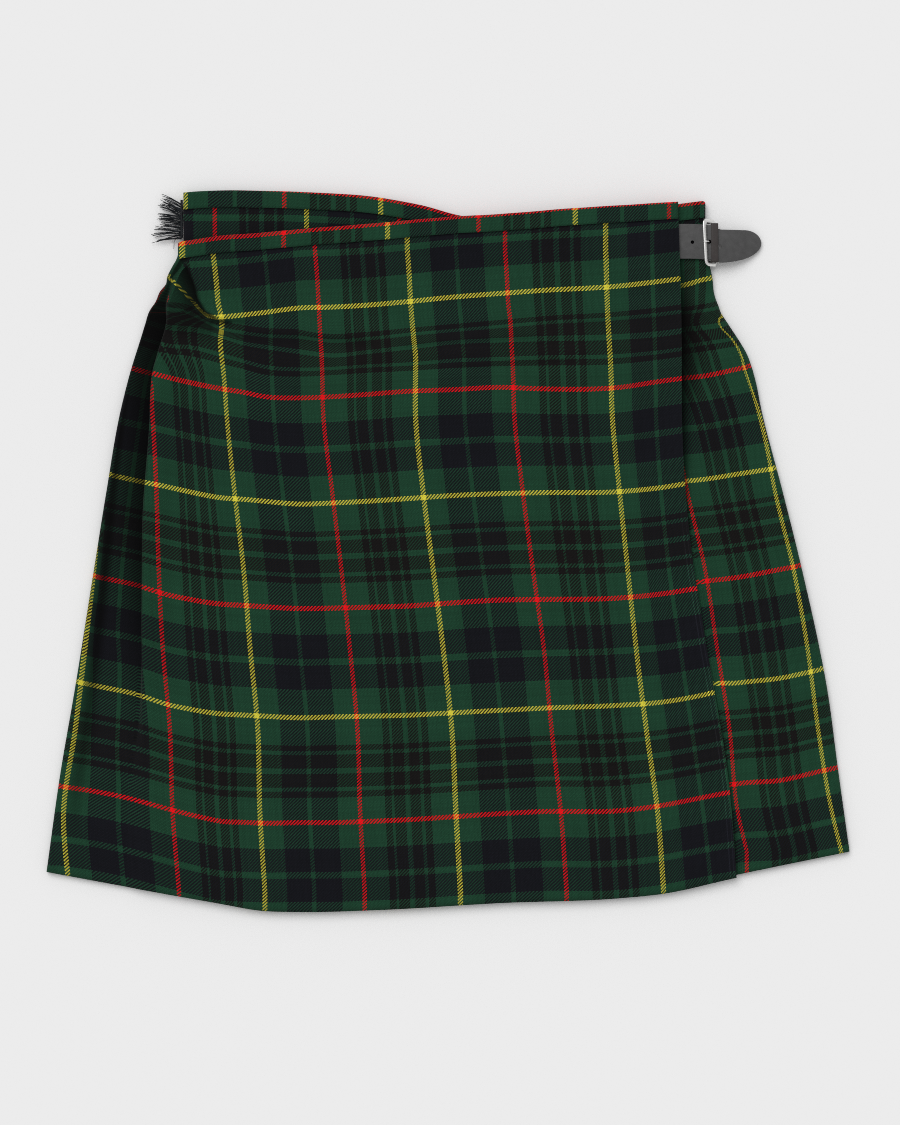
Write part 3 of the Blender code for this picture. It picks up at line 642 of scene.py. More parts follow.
HOLE_RADIUS = 1.3
PRONG_HOLE_RADIUS = 1.5
HOLE_SIDES = 20
PUNCH_LENGTH = 8
BUCKLE_CENTRE_Y = 223.1
BUCKLE_LEFT_X = 186.1
BUCKLE_LEFT_Z = 10.5
BUCKLE_PIVOT_X = 193.2
BUCKLE_PIVOT_Z = 3.7
BUCKLE_HALF = 15.4
BUCKLE_ROD = 1.0
BUCKLE_CORNER = 2.2
BUCKLE_LEAN = math.radians(3.0)
BUCKLE_SECTION = (1.9, 0.95)
BUCKLE_SIDES = 14
BUCKLE_CORNER_POINTS = 9
KEEPER_LEFT = 190.2
KEEPER_RIGHT = 195.2
KEEPER_THICK = 1.0
KEEPER_ROOM = SEAM + 0.2
KEEPER_CORNER = 0.8
KEEPER_CORNER_POINTS = 5
KEEPER_RINGS = 4
TAB_THICK = 1.0
TAB_WIDTH = 20.0
TAB_ROOT = (167.0, 178.0, 186.0, 189.0)
TAB_LIFT = 0.5
TAB_LOOP = (-125, 160)
TAB_LOOP_POINTS = 22
TAB_COLUMNS = 6
LEATHER_BEVEL = 0.25
SHARP_ANGLE = math.radians(50)

# The fringe of the under apron's edge, in tufts. From the top tuft to the bottom one change how far
# inside the strip's ends they start, their angle and their length. Then come the sag between which a
# tuft's is picked, how uneven tufts are, and how each strand lies within its tuft.
FRINGE_TOP = 254.5
FRINGE_BOTTOM = 226.5
STRIP_X = -195.1
STRIP_WIDTH = 1.6
STRIP_Z = UNDER_BODY + 0.35
STRIP_ROUND = 0.62
STRIP_POINTS = 12
STRIP_SIDES = 8
STRIP_TAPER = 0.9
FRINGE_SEED = 11
TUFTS = 11
TUFT_INSET = (4.5, 1.2)
TUFT_ANGLE = (0.62, 0.02)
TUFT_LENGTH = (16.5, 20.0)
TUFT_SAG = (1.5, 3.2)
TUFT_TURN = 0.05
TUFT_UNEVEN = 1.2
STRANDS = 7
STRAND_ROOT = 1.7
STRAND_LENGTH = (0.78, 1.06)
STRAND_STRAY = 0.9
STRAND_TURN = 0.035
STRAND_GATHER = 0.75
STRAND_DEPTH = 0.7
STRAND_FALL = (1.2, 2.6)
STRAND_RADIUS = 0.31
STRAND_TAPER = 0.6
STRAND_SIDES = 4
STRAND_POINTS = 9
LOOSE_STRAND = ((STRIP_X, 228, 4.0), (-198.6, 227.4, 4.2), (-200.6, 224.5, 3.6), (-201.0, 219, 2.8))
LOOSE_RADIUS = 0.3

# The stage: half the floor's width, the strengths of sky and sun, the sun's spread and turn, the film,
# where the eye is over the floor, in metres, and the render's pixel filter.
FLOOR_HALF = 6.0
SKY_LIGHT = 0.62
KEY_LIGHT = 1.5
KEY_SOFTNESS = math.radians(45)
KEY_TURN = (math.radians(-30), math.radians(-20), 0)
FILM_WIDTH = 36.0
CLIP_END = 100.0
EYE = (0.0004, -0.0096)
PIXEL_FILTER = 1.0


class KiltCloth(bpy.types.PropertyGroup):
    """Sizes and dyes of the tartan cloth."""

    green: bpy.props.FloatVectorProperty(
        name="Green", description="Colour of the green wool", subtype="COLOR", size=3,
        default=(0.0118, 0.0540, 0.0275), min=0, max=1,
    )
    navy: bpy.props.FloatVectorProperty(
        name="Navy", description="Colour of the navy wool", subtype="COLOR", size=3,
        default=(0.0064, 0.0068, 0.0100), min=0, max=1,
    )
    black: bpy.props.FloatVectorProperty(
        name="Black", description="Colour of the black wool", subtype="COLOR", size=3,
        default=(0.0076, 0.0066, 0.0066), min=0, max=1,
    )
    red: bpy.props.FloatVectorProperty(
        name="Red", description="Colour of the red wool", subtype="COLOR", size=3,
        default=(0.90, 0.007, 0.011), min=0, max=1,
    )
    yellow: bpy.props.FloatVectorProperty(
        name="Yellow", description="Colour of the yellow wool", subtype="COLOR", size=3,
        default=(0.76, 0.68, 0.06), min=0, max=1,
    )
    frayed: bpy.props.FloatVectorProperty(
        name="Frayed yarn", description="Colour of the fringe's loose yarn", subtype="COLOR", size=3,
        default=(0.0075, 0.009, 0.011), min=0, max=1,
    )
    yarn_relief: bpy.props.FloatProperty(
        name="Yarn relief", description="How far the yarns stand out of the cloth", unit="LENGTH",
        default=0.00012, min=0, max=0.001,
    )
    fibre: bpy.props.FloatProperty(
        name="Fibre", description="Share of the colour that stray fibres change", subtype="FACTOR",
        default=FIBRE, min=0, max=1,
    )


class KiltLeather(bpy.types.PropertyGroup):
    """Looks of the strap, its keeper and the buckle's tab."""

    colour: bpy.props.FloatVectorProperty(
        name="Leather", description="Colour of the leather's face", subtype="COLOR", size=3,
        default=(0.060, 0.0595, 0.060), min=0, max=1,
    )
    keeper: bpy.props.FloatVectorProperty(
        name="Keeper leather", description="Colour of the keeper and the tab", subtype="COLOR", size=3,
        default=(0.032, 0.0265, 0.0255), min=0, max=1,
    )
    grain: bpy.props.FloatProperty(
        name="Grain size", description="Width of one pebble of the grain", unit="LENGTH",
        default=GRAIN, min=0.0002, max=0.005,
    )


class KiltMetal(bpy.types.PropertyGroup):
    """Looks of the buckle."""

    colour: bpy.props.FloatVectorProperty(
        name="Nickel", description="Colour of the plated metal", subtype="COLOR", size=3,
        default=(0.90, 0.895, 0.88), min=0, max=1,
    )


class KiltStage(bpy.types.PropertyGroup):
    """Floor, light and camera."""

    floor: bpy.props.FloatVectorProperty(
        name="Floor", description="Colour of the floor", subtype="COLOR", size=3,
        default=(0.83, 0.83, 0.83), min=0, max=1,
    )
    height: bpy.props.FloatProperty(
        name="Camera height", description="Height of the camera over the floor", unit="LENGTH",
        default=2.2, min=0.5, max=10,
    )
    view_length: bpy.props.FloatProperty(
        name="View length", description="Length of floor from the bottom to the top of the picture",
        unit="LENGTH", default=0.8213, min=0.1, max=5,
    )


def column(table, names, name):
    """One named column of a table, as an array."""
    return np.array([row[names.index(name)] for row in table], float)


def soft_curve(at, xs, ys):
    """The value at each place of the cubic curve through (xs, ys), held level past both ends."""
    order = np.argsort(xs)
    xs = np.asarray(xs, float)[order]
    ys = np.asarray(ys, float)[order]
    slopes = np.gradient(ys, xs)
    at = np.clip(at, xs[0], xs[-1])
    i = np.clip(np.searchsorted(xs, at) - 1, 0, len(xs) - 2)
    span = xs[i + 1] - xs[i]
    t = (at - xs[i]) / span
    rise = ys[i] * (1 + 2 * t) * (1 - t) ** 2 + ys[i + 1] * t * t * (3 - 2 * t)
    return rise + span * (slopes[i] * t * (1 - t) ** 2 - slopes[i + 1] * t * t * (1 - t))


def read(table, names, name, at):
    """A column of a table as a soft curve of its first column."""
    return soft_curve(at, column(table, names, names[0]), column(table, names, name))


def ramp(at, start, end):
    """From 0 at start to 1 at end, level at both."""
    t = np.clip((at - start) / (end - start), 0, 1)
    return t * t * (3 - 2 * t)


def mix(a, b, t):
    """The value a share t of the way from a to b."""
    return a + (b - a) * t


def hem_at(x):
    """The hem's height at a place across the kilt."""
    return read(HEM, HEM_COLUMNS, "y", x)


def top_at(x, band):
    """The height of a waistband's top edge at a place across the kilt."""
    return read(TOPS, TOP_COLUMNS, band, x)


def waves(x, y, wave):
    """A gentle unevenness: the mean of four sines of different lengths and directions, times its lift."""
    lift, seed = wave
    total = 0.0
    for turn, length in zip(np.array(WAVE_TURNS) + seed, WAVE_LENGTHS):
        along = x * math.cos(turn) + y * math.sin(turn)
        total = total + np.sin(2 * math.pi * along / length + 3 * turn) / len(WAVE_LENGTHS)
    return lift * total


def from_line(x, y, line):
    """How far each point is to the right of a line, and how far past the nearer of its two ends."""
    run_x = line["x1"] - line["x0"]
    run_y = line["y1"] - line["y0"]
    length = math.hypot(run_x, run_y)
    along = ((x - line["x0"]) * run_x + (y - line["y0"]) * run_y) / length
    across = ((x - line["x0"]) * run_y - (y - line["y0"]) * run_x) / length
    return across, np.maximum(np.maximum(-along, along - length), 0)


def relief(x, y, table):
    """The sum of a table's folds: each is a bell across its line, fading out past both ends."""
    height = np.zeros(np.broadcast(x, y).shape)
    for row in table:
        fold = dict(zip(RELIEF_COLUMNS, row))
        across, past = from_line(x, y, fold)
        bell = np.exp(-(across / fold["width"]) ** 2 - (past / (FOLD_FADE * fold["width"])) ** 2)
        height = height + fold["height"] * bell
    return height


def creased(x, y, table, name):
    """The largest of a table's creases at each point, for its sink or its painted shade.

    A crease is a bell that falls off sharply on the right of its line, going from its first end to
    its second seen from above, and fades slowly on the left.
    """
    value = np.zeros(np.broadcast(x, y).shape)
    for row in table:
        crease = dict(zip(CREASE_COLUMNS, row))
        across, past = from_line(x, y, crease)
        width = np.where(across > 0, crease["fade"], CREASE_EDGE)
        bell = np.exp(-(across / width) ** 2 - (past / crease["fade"]) ** 2)
        value = np.maximum(value, crease[name] * bell)
    return value


def over_height(x, y):
    """Middle of the over apron's wall: lifted by the bands and the strap below it at the waist."""
    below = top_at(x, "over") - y
    waist = mix(OVER_WAIST_LEFT, OVER_WAIST_RIGHT, ramp(x, *WAIST_STEP))
    held = mix(*OVER_HELD, ramp(x, *OVER_HELD_STEP))
    body = OVER_BODY + relief(x, y, OVER_RELIEF) * ramp(below, *OVER_RELIEF_GROWS)
    return mix(waist, body, ramp(below, held, held + OVER_SETTLES))


def over_folds(x, y):
    """What the over apron's finer folds, creases and unevenness add to its height."""
    fine = relief(x, y, OVER_FOLDS) + waves(x, y, OVER_WAVE) - creased(x, y, OVER_CREASES, "sink")
    return fine * ramp(top_at(x, "over") - y, *OVER_FOLDS_GROW)


def under_height(x, y):
    """Middle of the under apron's wall."""
    below = top_at(x, "under") - y
    held = mix(*UNDER_HELD, ramp(x, *UNDER_HELD_STEP))
    body = UNDER_BODY + relief(x, y, UNDER_RELIEF) * ramp(below, *UNDER_RELIEF_GROWS)
    fine = relief(x, y, UNDER_FOLDS) + waves(x, y, UNDER_WAVE) - creased(x, y, UNDER_CREASES, "sink")
    fine = fine * ramp(below, *UNDER_FOLDS_GROW) * ramp(x, *UNDER_FOLDS_START)
    return mix(UNDER_WAIST, body, ramp(below, held, held + UNDER_SETTLES)) + fine


def underside(below, held):
    """Middle of a wrap's lower run, which its band or the buckle's tab keeps off the floor."""
    return mix(BAND_FLOOR, UNDERSIDE, ramp(below, held, held + WRAP_SETTLES))


def between_lines(at, places, counts, pitch):
    """Thread counts at each place between lines whose places may differ from point to point.

    places has one array for each line, in rising order, and counts the thread at its middle. Between
    two lines the count is a cubic whose slopes are those between the neighbours of each line, and
    past the first and the last line it runs on at the cloth's own pitch.
    """
    places = np.stack([np.broadcast_to(place, at.shape) for place in places])
    counts = np.asarray(counts, float)
    outer = np.full((1,) + at.shape, 1 / pitch)
    inner = (counts[2:] - counts[:-2]).reshape((-1,) + (1,) * at.ndim) / (places[2:] - places[:-2])
    slopes = np.concatenate([outer, inner, outer])
    i = np.clip((at > places).sum(0) - 1, 0, len(counts) - 2)
    low = np.take_along_axis(places, i[None], 0)[0]
    high = np.take_along_axis(places, i[None] + 1, 0)[0]
    slope_low = np.take_along_axis(slopes, i[None], 0)[0]
    slope_high = np.take_along_axis(slopes, i[None] + 1, 0)[0]
    span = high - low
    t = np.clip((at - low) / span, 0, 1)
    count = counts[i] * (1 + 2 * t) * (1 - t) ** 2 + counts[i + 1] * t * t * (3 - 2 * t)
    count = count + span * (slope_low * t * (1 - t) ** 2 - slope_high * t * t * (1 - t))
    past = np.minimum(at - places[0], 0) + np.maximum(at - places[-1], 0)
    return count + past / pitch


def weft_count(x, y, table):
    """Weft thread at each point: its lines' heights at x, then the count between them at y."""
    names = WEFT_COLUMNS[:0:-1]
    places = [read(table, WEFT_COLUMNS, name, x) for name in names]
    counts = []
    for name in names:
        if name in WEFT_GREEN:
            counts.append(WEFT_GREEN[name] - WEFT_REPEAT)
        elif name.startswith("red"):
            counts.append(WEFT_RED - WEFT_REPEAT * int(name[-1]))
        else:
            counts.append(WEFT_YELLOW - WEFT_REPEAT * (int(name[-1]) - 1))
    return between_lines(y, places, counts, WEFT_PITCH)


def over_weft_count(x, y):
    """Weft thread at each point of the over apron.

    Left of the flap's crease the top yellow line climbs, and right of it the line runs level. Where
    the cloth is tucked below the line, the threads jump there to those of the next lines down.
    """
    smooth = weft_count(x, y, OVER_WEFT)
    climbing = read(OVER_WEFT, WEFT_COLUMNS, "yellow_1", x)
    level = np.where(x < LEVEL_END, read(LEVEL_YELLOW, LEVEL_COLUMNS, "y", x), climbing)
    right = ramp(x - read(CREASE_PATH, CREASE_POINT, "x", y), -CREASE_SOFT, CREASE_SOFT)
    yellow = mix(climbing, level, right)
    green = read(OVER_WEFT, WEFT_COLUMNS, "green_a", x)
    above = WEFT_YELLOW + (y - yellow) / WEFT_PITCH
    past = np.maximum(y - green, 0) / WEFT_PITCH
    below = np.where(y > green, WEFT_GREEN["green_a"] - WEFT_REPEAT + past, smooth)
    jump = mix(below, above, ramp(y - yellow + TUCK, -TUCK_STEP, TUCK_STEP))
    return mix(jump, smooth, ramp(climbing - green, *LINES_PART) * np.where(x < TUCK_END, 1 - right, 1))


def over_warp_count(x, y, first):
    """Warp thread at each point of the over apron, between its lines from the first named one on."""
    names = OVER_WARP_COLUMNS[OVER_WARP_COLUMNS.index(first):]
    places = [read(OVER_WARP, OVER_WARP_COLUMNS, name, y) for name in names]
    counts = []
    for name in names:
        number = OVER_WARP_COLUMNS.index(name) - 3
        base = WARP_RED if name.startswith("red") else WARP_YELLOW
        base = WARP_STRIPE if name == "stripe" else base
        counts.append(base + WARP_REPEAT * (number // 2))
    return between_lines(x, places, counts, WARP_PITCH)


def under_warp_count(x, y):
    """Warp thread at each point of the under apron; its yellow line has a width of its own."""
    line = {name: read(UNDER_WARP, UNDER_WARP_COLUMNS, name, y) for name in UNDER_WARP_COLUMNS[1:]}
    places = [np.full(x.shape, place) for place in UNDER_WAIST_LINES.values()]
    red_half = RED_THREADS / 2
    places += [line["red"] - red_half * WARP_PITCH, line["red"] + red_half * WARP_PITCH]
    places += [line["yellow"] - line["wide"] / 2, line["yellow"] + line["wide"] / 2]
    red, yellow, turn = WARP_RED, WARP_YELLOW, WARP_REPEAT
    counts = [red - 2 * turn, yellow - turn, red - turn, yellow, red - red_half, red + red_half]
    counts += [turn, turn + 2 * yellow]
    return between_lines(x, places, counts, WARP_PITCH)


def run_length(x, z):
    """Length along each row of a section, from its first column."""
    step = np.hypot(np.diff(x, axis=1), np.diff(z, axis=1))
    return np.concatenate([np.zeros((len(x), 1)), np.cumsum(step, axis=1)], 1)


def rows_down(count):
    """Places from 0 to 1 down a panel, closer together in its upper part, where the folds are."""
    close = int(UPPER_ROWS * count)
    upper = np.linspace(0, UPPER_PART, close, endpoint=False)
    return np.concatenate([upper, np.linspace(UPPER_PART, 1, count - close)])[:, None]


def down_edge(table, names, name, t, band, rise=0.0):
    """An edge's place across the kilt at each row and the row's height there, closed in on by steps."""
    y = mix(*EDGE_GUESS, t)
    for _ in range(EDGE_STEPS):
        x = read(table, names, name, y)
        y = mix(top_at(x, band) - INTO_BAND, hem_at(x) + rise, t)
    return x, y


def joined(*parts):
    """Runs of a section side by side, each spread over all rows."""
    rows = max(part.shape[0] for part in parts)
    return np.concatenate([np.broadcast_to(part, (rows, part.shape[1])) for part in parts], 1)


def back_edge(y, edge):
    """Where the pleated back ends at a height, given where it ends at the waist and the hem."""
    top = top_at(edge[0], "back") - BAND_DEPTH - BACK_SEAM
    hem = hem_at(edge[1]) + BACK_HEM_RISE
    return mix(edge[0], edge[1], (top - y) / (top - hem))


def fold_section(fold, start, drop):
    """The pleat fold left of the top run, as x, and z from the height where it starts.

    It turns down through its angle, runs straight for what is left of its drop, and turns back level.
    """
    turn = np.radians(fold["turn"])
    radius = fold["radius"]
    fall = drop - 2 * radius * (1 - np.cos(turn))
    straight = np.maximum(LEAST_STRAIGHT, fall / np.sin(turn))
    angle = turn * np.linspace(0, 1, TURN_POINTS)[None, 1:]
    first_x = start - radius * np.sin(angle)
    first_z = -radius * (1 - np.cos(angle))
    run = straight * np.linspace(0, 1, STRAIGHT_POINTS)[None, 1:]
    run_x = first_x[:, -1:] - run * np.cos(turn)
    run_z = first_z[:, -1:] - run * np.sin(turn)
    back = turn * np.linspace(1, 0, TURN_POINTS)[None, 1:]
    second_x = run_x[:, -1:] - radius * (np.sin(turn) - np.sin(back))
    second_z = run_z[:, -1:] - radius * (np.cos(back) - np.cos(turn))
    return joined(first_x, run_x, second_x), joined(first_z, run_z, second_z)


def over_apron_sections(rows, columns):
    """The over apron's middle surface, row by row, from its free edge to the end of its wrap.

    The top run goes left to the fold's edge, and the fold takes the cloth down. The layer below goes
    left to the kilt's edge, half an ellipse takes it under, and the lower run goes back right to the
    pleats. With it come the marks that its threads and shade go by: each row's height, the fold's
    edge, the kilt's edge, and the columns where the top run, the fold and the layer below end.
    """
    t = rows_down(rows)
    _, level = down_edge(APRON_FOLD, FOLD_COLUMNS, "edge", t, "over")
    fold = {name: read(APRON_FOLD, FOLD_COLUMNS, name, level) for name in FOLD_COLUMNS}
    free, _ = down_edge(FREE_EDGES, EDGE_COLUMNS, "over", t, "over")
    left, _ = down_edge(LEFT_EDGE, EDGE_POINT, "x", t, "over")
    left = left + WALL / 2
    turn = np.radians(fold["turn"])
    start = fold["edge"] + WALL / 2 + fold["radius"] * np.where(turn < math.pi / 2, np.sin(turn), 1)
    steps = np.array(SEWN_EDGE)[None]
    spread = 1 - (1 - np.linspace(0, 1, columns - steps.size)[None]) ** TOP_CROWDING
    top_x = joined(free - steps, mix(free - SEWN_EDGE[-1] - SEWN_CLEAR, start, spread))
    top_y = mix(top_at(top_x, "over") - INTO_BAND, hem_at(top_x), t)
    folds = over_folds(top_x, top_y)
    top_z = over_height(top_x, top_y) + folds
    fold_x, fold_z = fold_section(fold, start, fold["drop"] + folds[:, -1:])
    fold_z = fold_z + top_z[:, -1:]
    low = underside(level[0] - level, OVER_WRAP_HELD)
    floor_y = mix(top_at(BACK_LEFT[0], "over") - INTO_BAND, hem_at(BACK_LEFT[1]), t)
    floor_x = back_edge(floor_y, BACK_LEFT) - BACK_SEAM
    rise = read(FLANK_RIDGE, FLANK_COLUMNS, "rise", level)
    share = np.linspace(0, 1, LOWER_POINTS)[None, 1:]
    nose = (fold_z[:, -1:] + rise - low) / 2
    reach = np.minimum(nose, fold_x[:, -1:] - left - SHELF_LEAST)
    lower_x = mix(fold_x[:, -1:], left + reach, share)
    lower_z = fold_z[:, -1:] + rise * ramp(share, *RIDGE_RISES)
    around = np.linspace(0, math.pi, NOSE_POINTS)[None, 1:]
    nose_x = left + reach * (1 - np.sin(around))
    nose_z = low + nose + nose * np.cos(around)
    under_x = mix(nose_x[:, -1:], floor_x, np.linspace(0, 1, OVER_WRAP_POINTS)[None, 1:])
    under_z = low + np.zeros_like(under_x)
    x = joined(top_x, fold_x, lower_x, nose_x, under_x)
    z = joined(top_z, fold_z, lower_z, nose_z, under_z)
    y = mix(top_at(x, "over") - INTO_BAND, hem_at(x), t)
    ends = np.cumsum([top_x.shape[1], fold_x.shape[1], lower_x.shape[1]])
    return x, y, z, {"level": level, "fold": fold["edge"], "left": left, "ends": ends}


def over_apron_warp(x, y, length, marks):
    """Warp thread at each point of the over apron, given its length along each row.

    The top run and the layer below the fold are counted from lines of their own, and the count
    changes over inside the fold. Near the hem, where the fold opens, one count runs through both.
    Left of the flap's crease the count starts from the crease, and in the valley threads are hidden.
    """
    top_end, fold_end, lower_end = marks["ends"]
    crease = read(CREASE_PATH, CREASE_POINT, "x", y)
    flap = FLAP_GREEN - WARP_REPEAT + np.maximum((x - crease) / FLAP_PITCH, -FLAP_THREADS)
    warp = over_warp_count(x, y, "red_far")
    warp = mix(warp, flap, ramp(crease - x, -CREASE_SOFT, CREASE_SOFT) * ramp(y, *FLAP_GROWS))
    plain = np.where(y > 0, warp, over_warp_count(x, y, "yellow_far"))
    far = read(OVER_WARP, OVER_WARP_COLUMNS, "yellow_far", y)
    below = WARP_YELLOW - WARP_REPEAT + (x - far) / WARP_PITCH
    hidden = read(VALLEY, VALLEY_COLUMNS, "threads", y)
    below = below + hidden * ramp(x - far, VALLEY_START, VALLEY_END)
    below = mix(below, flap, ramp(y, *FLAP_BELOW))
    share = np.linspace(0, 1, fold_end - top_end + 1)[None, 1:]
    along = length[:, top_end:fold_end] - length[:, top_end - 1:top_end]
    over_edge = warp[:, top_end - 1:top_end] - along / WARP_PITCH
    warp[:, top_end:fold_end] = mix(over_edge, below[:, fold_end:fold_end + 1], ramp(share, *FOLD_JUMP))
    warp[:, fold_end:] = below[:, fold_end:]
    warp[:, :lower_end] = mix(warp, plain, ramp(marks["level"], *FOLD_OPENS))[:, :lower_end]
    past = length[:, lower_end:] - length[:, lower_end - 1:lower_end]
    warp[:, lower_end:] = warp[:, lower_end - 1:lower_end] - past / WARP_PITCH
    return warp


def over_apron_painted_shading(x, y, marks):
    """How much painted shade darkens each point of the over apron, and how much a painted highlight
    and the sewn lines lighten it at its free edge.

    Painted shade darkens the creases of the top run and the flap, the fold down to the layer below,
    and that layer next to the fold and in its valley.
    """
    top_end, fold_end, lower_end = marks["ends"]
    shade = np.zeros(x.shape)
    # Painted shade in the top run's creases.
    shade[:, :top_end] = creased(x[:, :top_end], y[:, :top_end], OVER_CREASES, "shade")
    # Painted shade down the fold and on the layer below it, darkest at the fold.
    inner = read(FLANK_PAINTED_SHADE, FLANK_PAINTED_SHADE_COLUMNS, "inner", marks["level"])
    outer = read(FLANK_PAINTED_SHADE, FLANK_PAINTED_SHADE_COLUMNS, "outer", marks["level"])
    share = np.linspace(0, 1, fold_end - top_end + 1)[None, 1:]
    shade[:, top_end:fold_end] = mix(0.0, inner, share ** 0.5)
    away = marks["fold"] - x[:, fold_end:]
    shade[:, fold_end:] = mix(inner, outer, ramp(away, 0, FLANK_PAINTED_SHADE_FADE))
    # Painted shade in the valley right of the far yellow line.
    far = read(OVER_WARP, OVER_WARP_COLUMNS, "yellow_far", y)
    valley = np.exp(-((x - far - PAINTED_VALLEY_MIDDLE) / PAINTED_VALLEY_WIDTH) ** 2)
    valley = valley * read(VALLEY, VALLEY_COLUMNS, "shade", y)
    shade[:, fold_end:lower_end] = np.maximum(shade, valley)[:, fold_end:lower_end]
    # Painted shade on the flap left of the crease.
    crease = read(CREASE_PATH, CREASE_POINT, "x", y)
    turned = ramp(crease - x, 0, FLAP_PAINTED_SHADE_WIDTH) * ramp(y, *FLAP_PAINTED_SHADE_FOOT) * ramp(y, *FLAP_PAINTED_SHADE_HEAD)
    shade[:, :top_end] += FLAP_PAINTED_SHADE * (turned * (1 - shade))[:, :top_end]
    # Painted highlight along the free edge, then the lighter sewn lines inside it.
    shade[:, 0] -= EDGE_PAINTED_HIGHLIGHT
    for column, light in SEWN_LINES:
        shade[:, column] -= light * ramp(y[:, column], *SEWN_FADE)
    return shade


def over_apron_grid(rows, columns):
    """The over apron's middle surface, threads and painted shading, from its wrap's end to its free edge.

    Past the kilt's left edge the weft is read at the mirrored place, as the cloth has turned under.
    """
    x, y, z, marks = over_apron_sections(rows, columns)
    warp = over_apron_warp(x, y, run_length(x, z), marks)
    mirrored = np.where(np.arange(x.shape[1]) < marks["ends"][-1], x, 2 * marks["left"] - x)
    weft = over_weft_count(mirrored, y)
    shade = over_apron_painted_shading(x, y, marks)
    return np.stack([x, y, z], 2)[:, ::-1], np.stack([warp, weft], 2)[:, ::-1], shade[:, ::-1]


def under_apron_grid(rows, hidden, shown):
    """The under apron's middle surface, threads and painted shade, from its hidden edge to its wrap's
    end.

    The top run goes right, under the over apron and on past its free edge, half a circle takes it
    under at the kilt's edge, and the lower run goes back left to the pleats.
    """
    t = rows_down(rows)
    rise = UNDER_HEM_RISE
    free, _ = down_edge(FREE_EDGES, EDGE_COLUMNS, "under", t, "under", rise)
    right, level = down_edge(RIGHT_EDGE, EDGE_POINT, "x", t, "under", rise)
    right = right - WALL / 2
    cover, _ = down_edge(FREE_EDGES, EDGE_COLUMNS, "over", t, "under", rise)
    cover = cover - COVERED
    low = underside(level[0] - level, UNDER_WRAP_HELD)
    top_x = joined(
        mix(free, cover, np.linspace(0, 1, hidden)[None, :-1]),
        mix(cover, right - NOSE_ROOM, np.linspace(0, 1, shown)[None]),
    )
    top_y = mix(top_at(top_x, "under") - INTO_BAND, hem_at(top_x) + rise, t)
    top_z = under_height(top_x, top_y)
    nose = (top_z[:, -1:] - low) / 2
    around = np.linspace(0, math.pi, NOSE_POINTS)[None, 1:]
    nose_x = right - nose + nose * np.sin(around)
    top_x[:, -1:] = right - nose
    nose_z = low + nose + nose * np.cos(around)
    floor_y = mix(top_at(BACK_RIGHT[0], "under") - INTO_BAND, hem_at(BACK_RIGHT[1]) + rise, t)
    floor_x = back_edge(floor_y, BACK_RIGHT) + BACK_SEAM
    floor_x = np.where(floor_y > BACK_BAND_FOOT, UNDER_WRAP_END + BACK_SEAM, floor_x)
    under_x = mix(nose_x[:, -1:], floor_x, np.linspace(0, 1, UNDER_WRAP_POINTS)[None, 1:])
    under_z = low + np.zeros_like(under_x)
    x = joined(top_x, nose_x, under_x)
    z = joined(top_z, nose_z, under_z)
    y = mix(top_at(x, "under") - INTO_BAND, hem_at(x) + rise, t)
    in_top = top_x.shape[1]
    warp = under_warp_count(x, y)
    length = run_length(x, z)
    past = length[:, in_top:] - length[:, in_top - 1:in_top]
    warp[:, in_top:] = warp[:, in_top - 1:in_top] + past / WARP_PITCH
    mirrored = np.where(np.arange(x.shape[1]) < in_top, x, 2 * right - x)
    weft = weft_count(mirrored, y, UNDER_WEFT)
    # Painted shadow on the strip next to the over apron's free edge, and painted shade in its creases.
    wide = read(GAP_PAINTED_SHADOW, GAP_PAINTED_SHADOW_COLUMNS, "width", top_y)
    painted_shading = read(GAP_PAINTED_SHADOW, GAP_PAINTED_SHADOW_COLUMNS, "shade", top_y)
    beside = np.exp(-(np.maximum(top_x - cover - COVERED, 0) / wide) ** 2)
    painted_gap_shadow = painted_shading * beside * ramp(top_x, *GAP_PAINTED_SHADOW_STARTS)
    shade = np.zeros(x.shape)
    shade[:, :in_top] = np.maximum(painted_gap_shadow, creased(top_x, top_y, UNDER_CREASES, "shade"))
    return np.stack([x, y, z], 2), np.stack([warp, weft], 2), shade


def pleat_profile(width, pitch):
    """The back's knife pleats seen from the hem, as x and z of the middle of the wall.

    Each pleat shows a flat stretch on the floor, turns back over it, turns again on top and comes
    down past the fold to the next stretch.
    """
    r = PLEAT_RADIUS
    edge = pitch - PLEAT_STEP
    inner = edge - (pitch - PLEAT_SHOW) + r
    half = np.linspace(0, math.pi, HALF_TURN_POINTS)
    quarter = np.linspace(0, math.pi / 2, QUARTER_TURN_POINTS)
    flat = np.linspace(0, edge - r, PLEAT_FLAT_POINTS)[:-1]
    x = np.concatenate([
        flat,
        edge - r + r * np.sin(half),
        inner - r * np.sin(half),
        edge + r + r * np.sin(quarter),
        edge + r + 2 * r - r * np.cos(quarter),
    ])
    z = np.concatenate([
        np.full(len(flat), UNDERSIDE),
        UNDERSIDE + r - r * np.cos(half),
        UNDERSIDE + 3 * r - r * np.cos(half),
        UNDERSIDE + 3 * r + r * np.cos(quarter),
        UNDERSIDE + r - r * np.sin(quarter),
    ])
    starts = np.arange(PLEATS)[:, None] * pitch
    x = np.concatenate([(starts + x).ravel(), [PLEATS * pitch + PLEAT_END, width]])
    z = np.concatenate([np.tile(z, PLEATS), [UNDERSIDE, UNDERSIDE]])
    return x, z


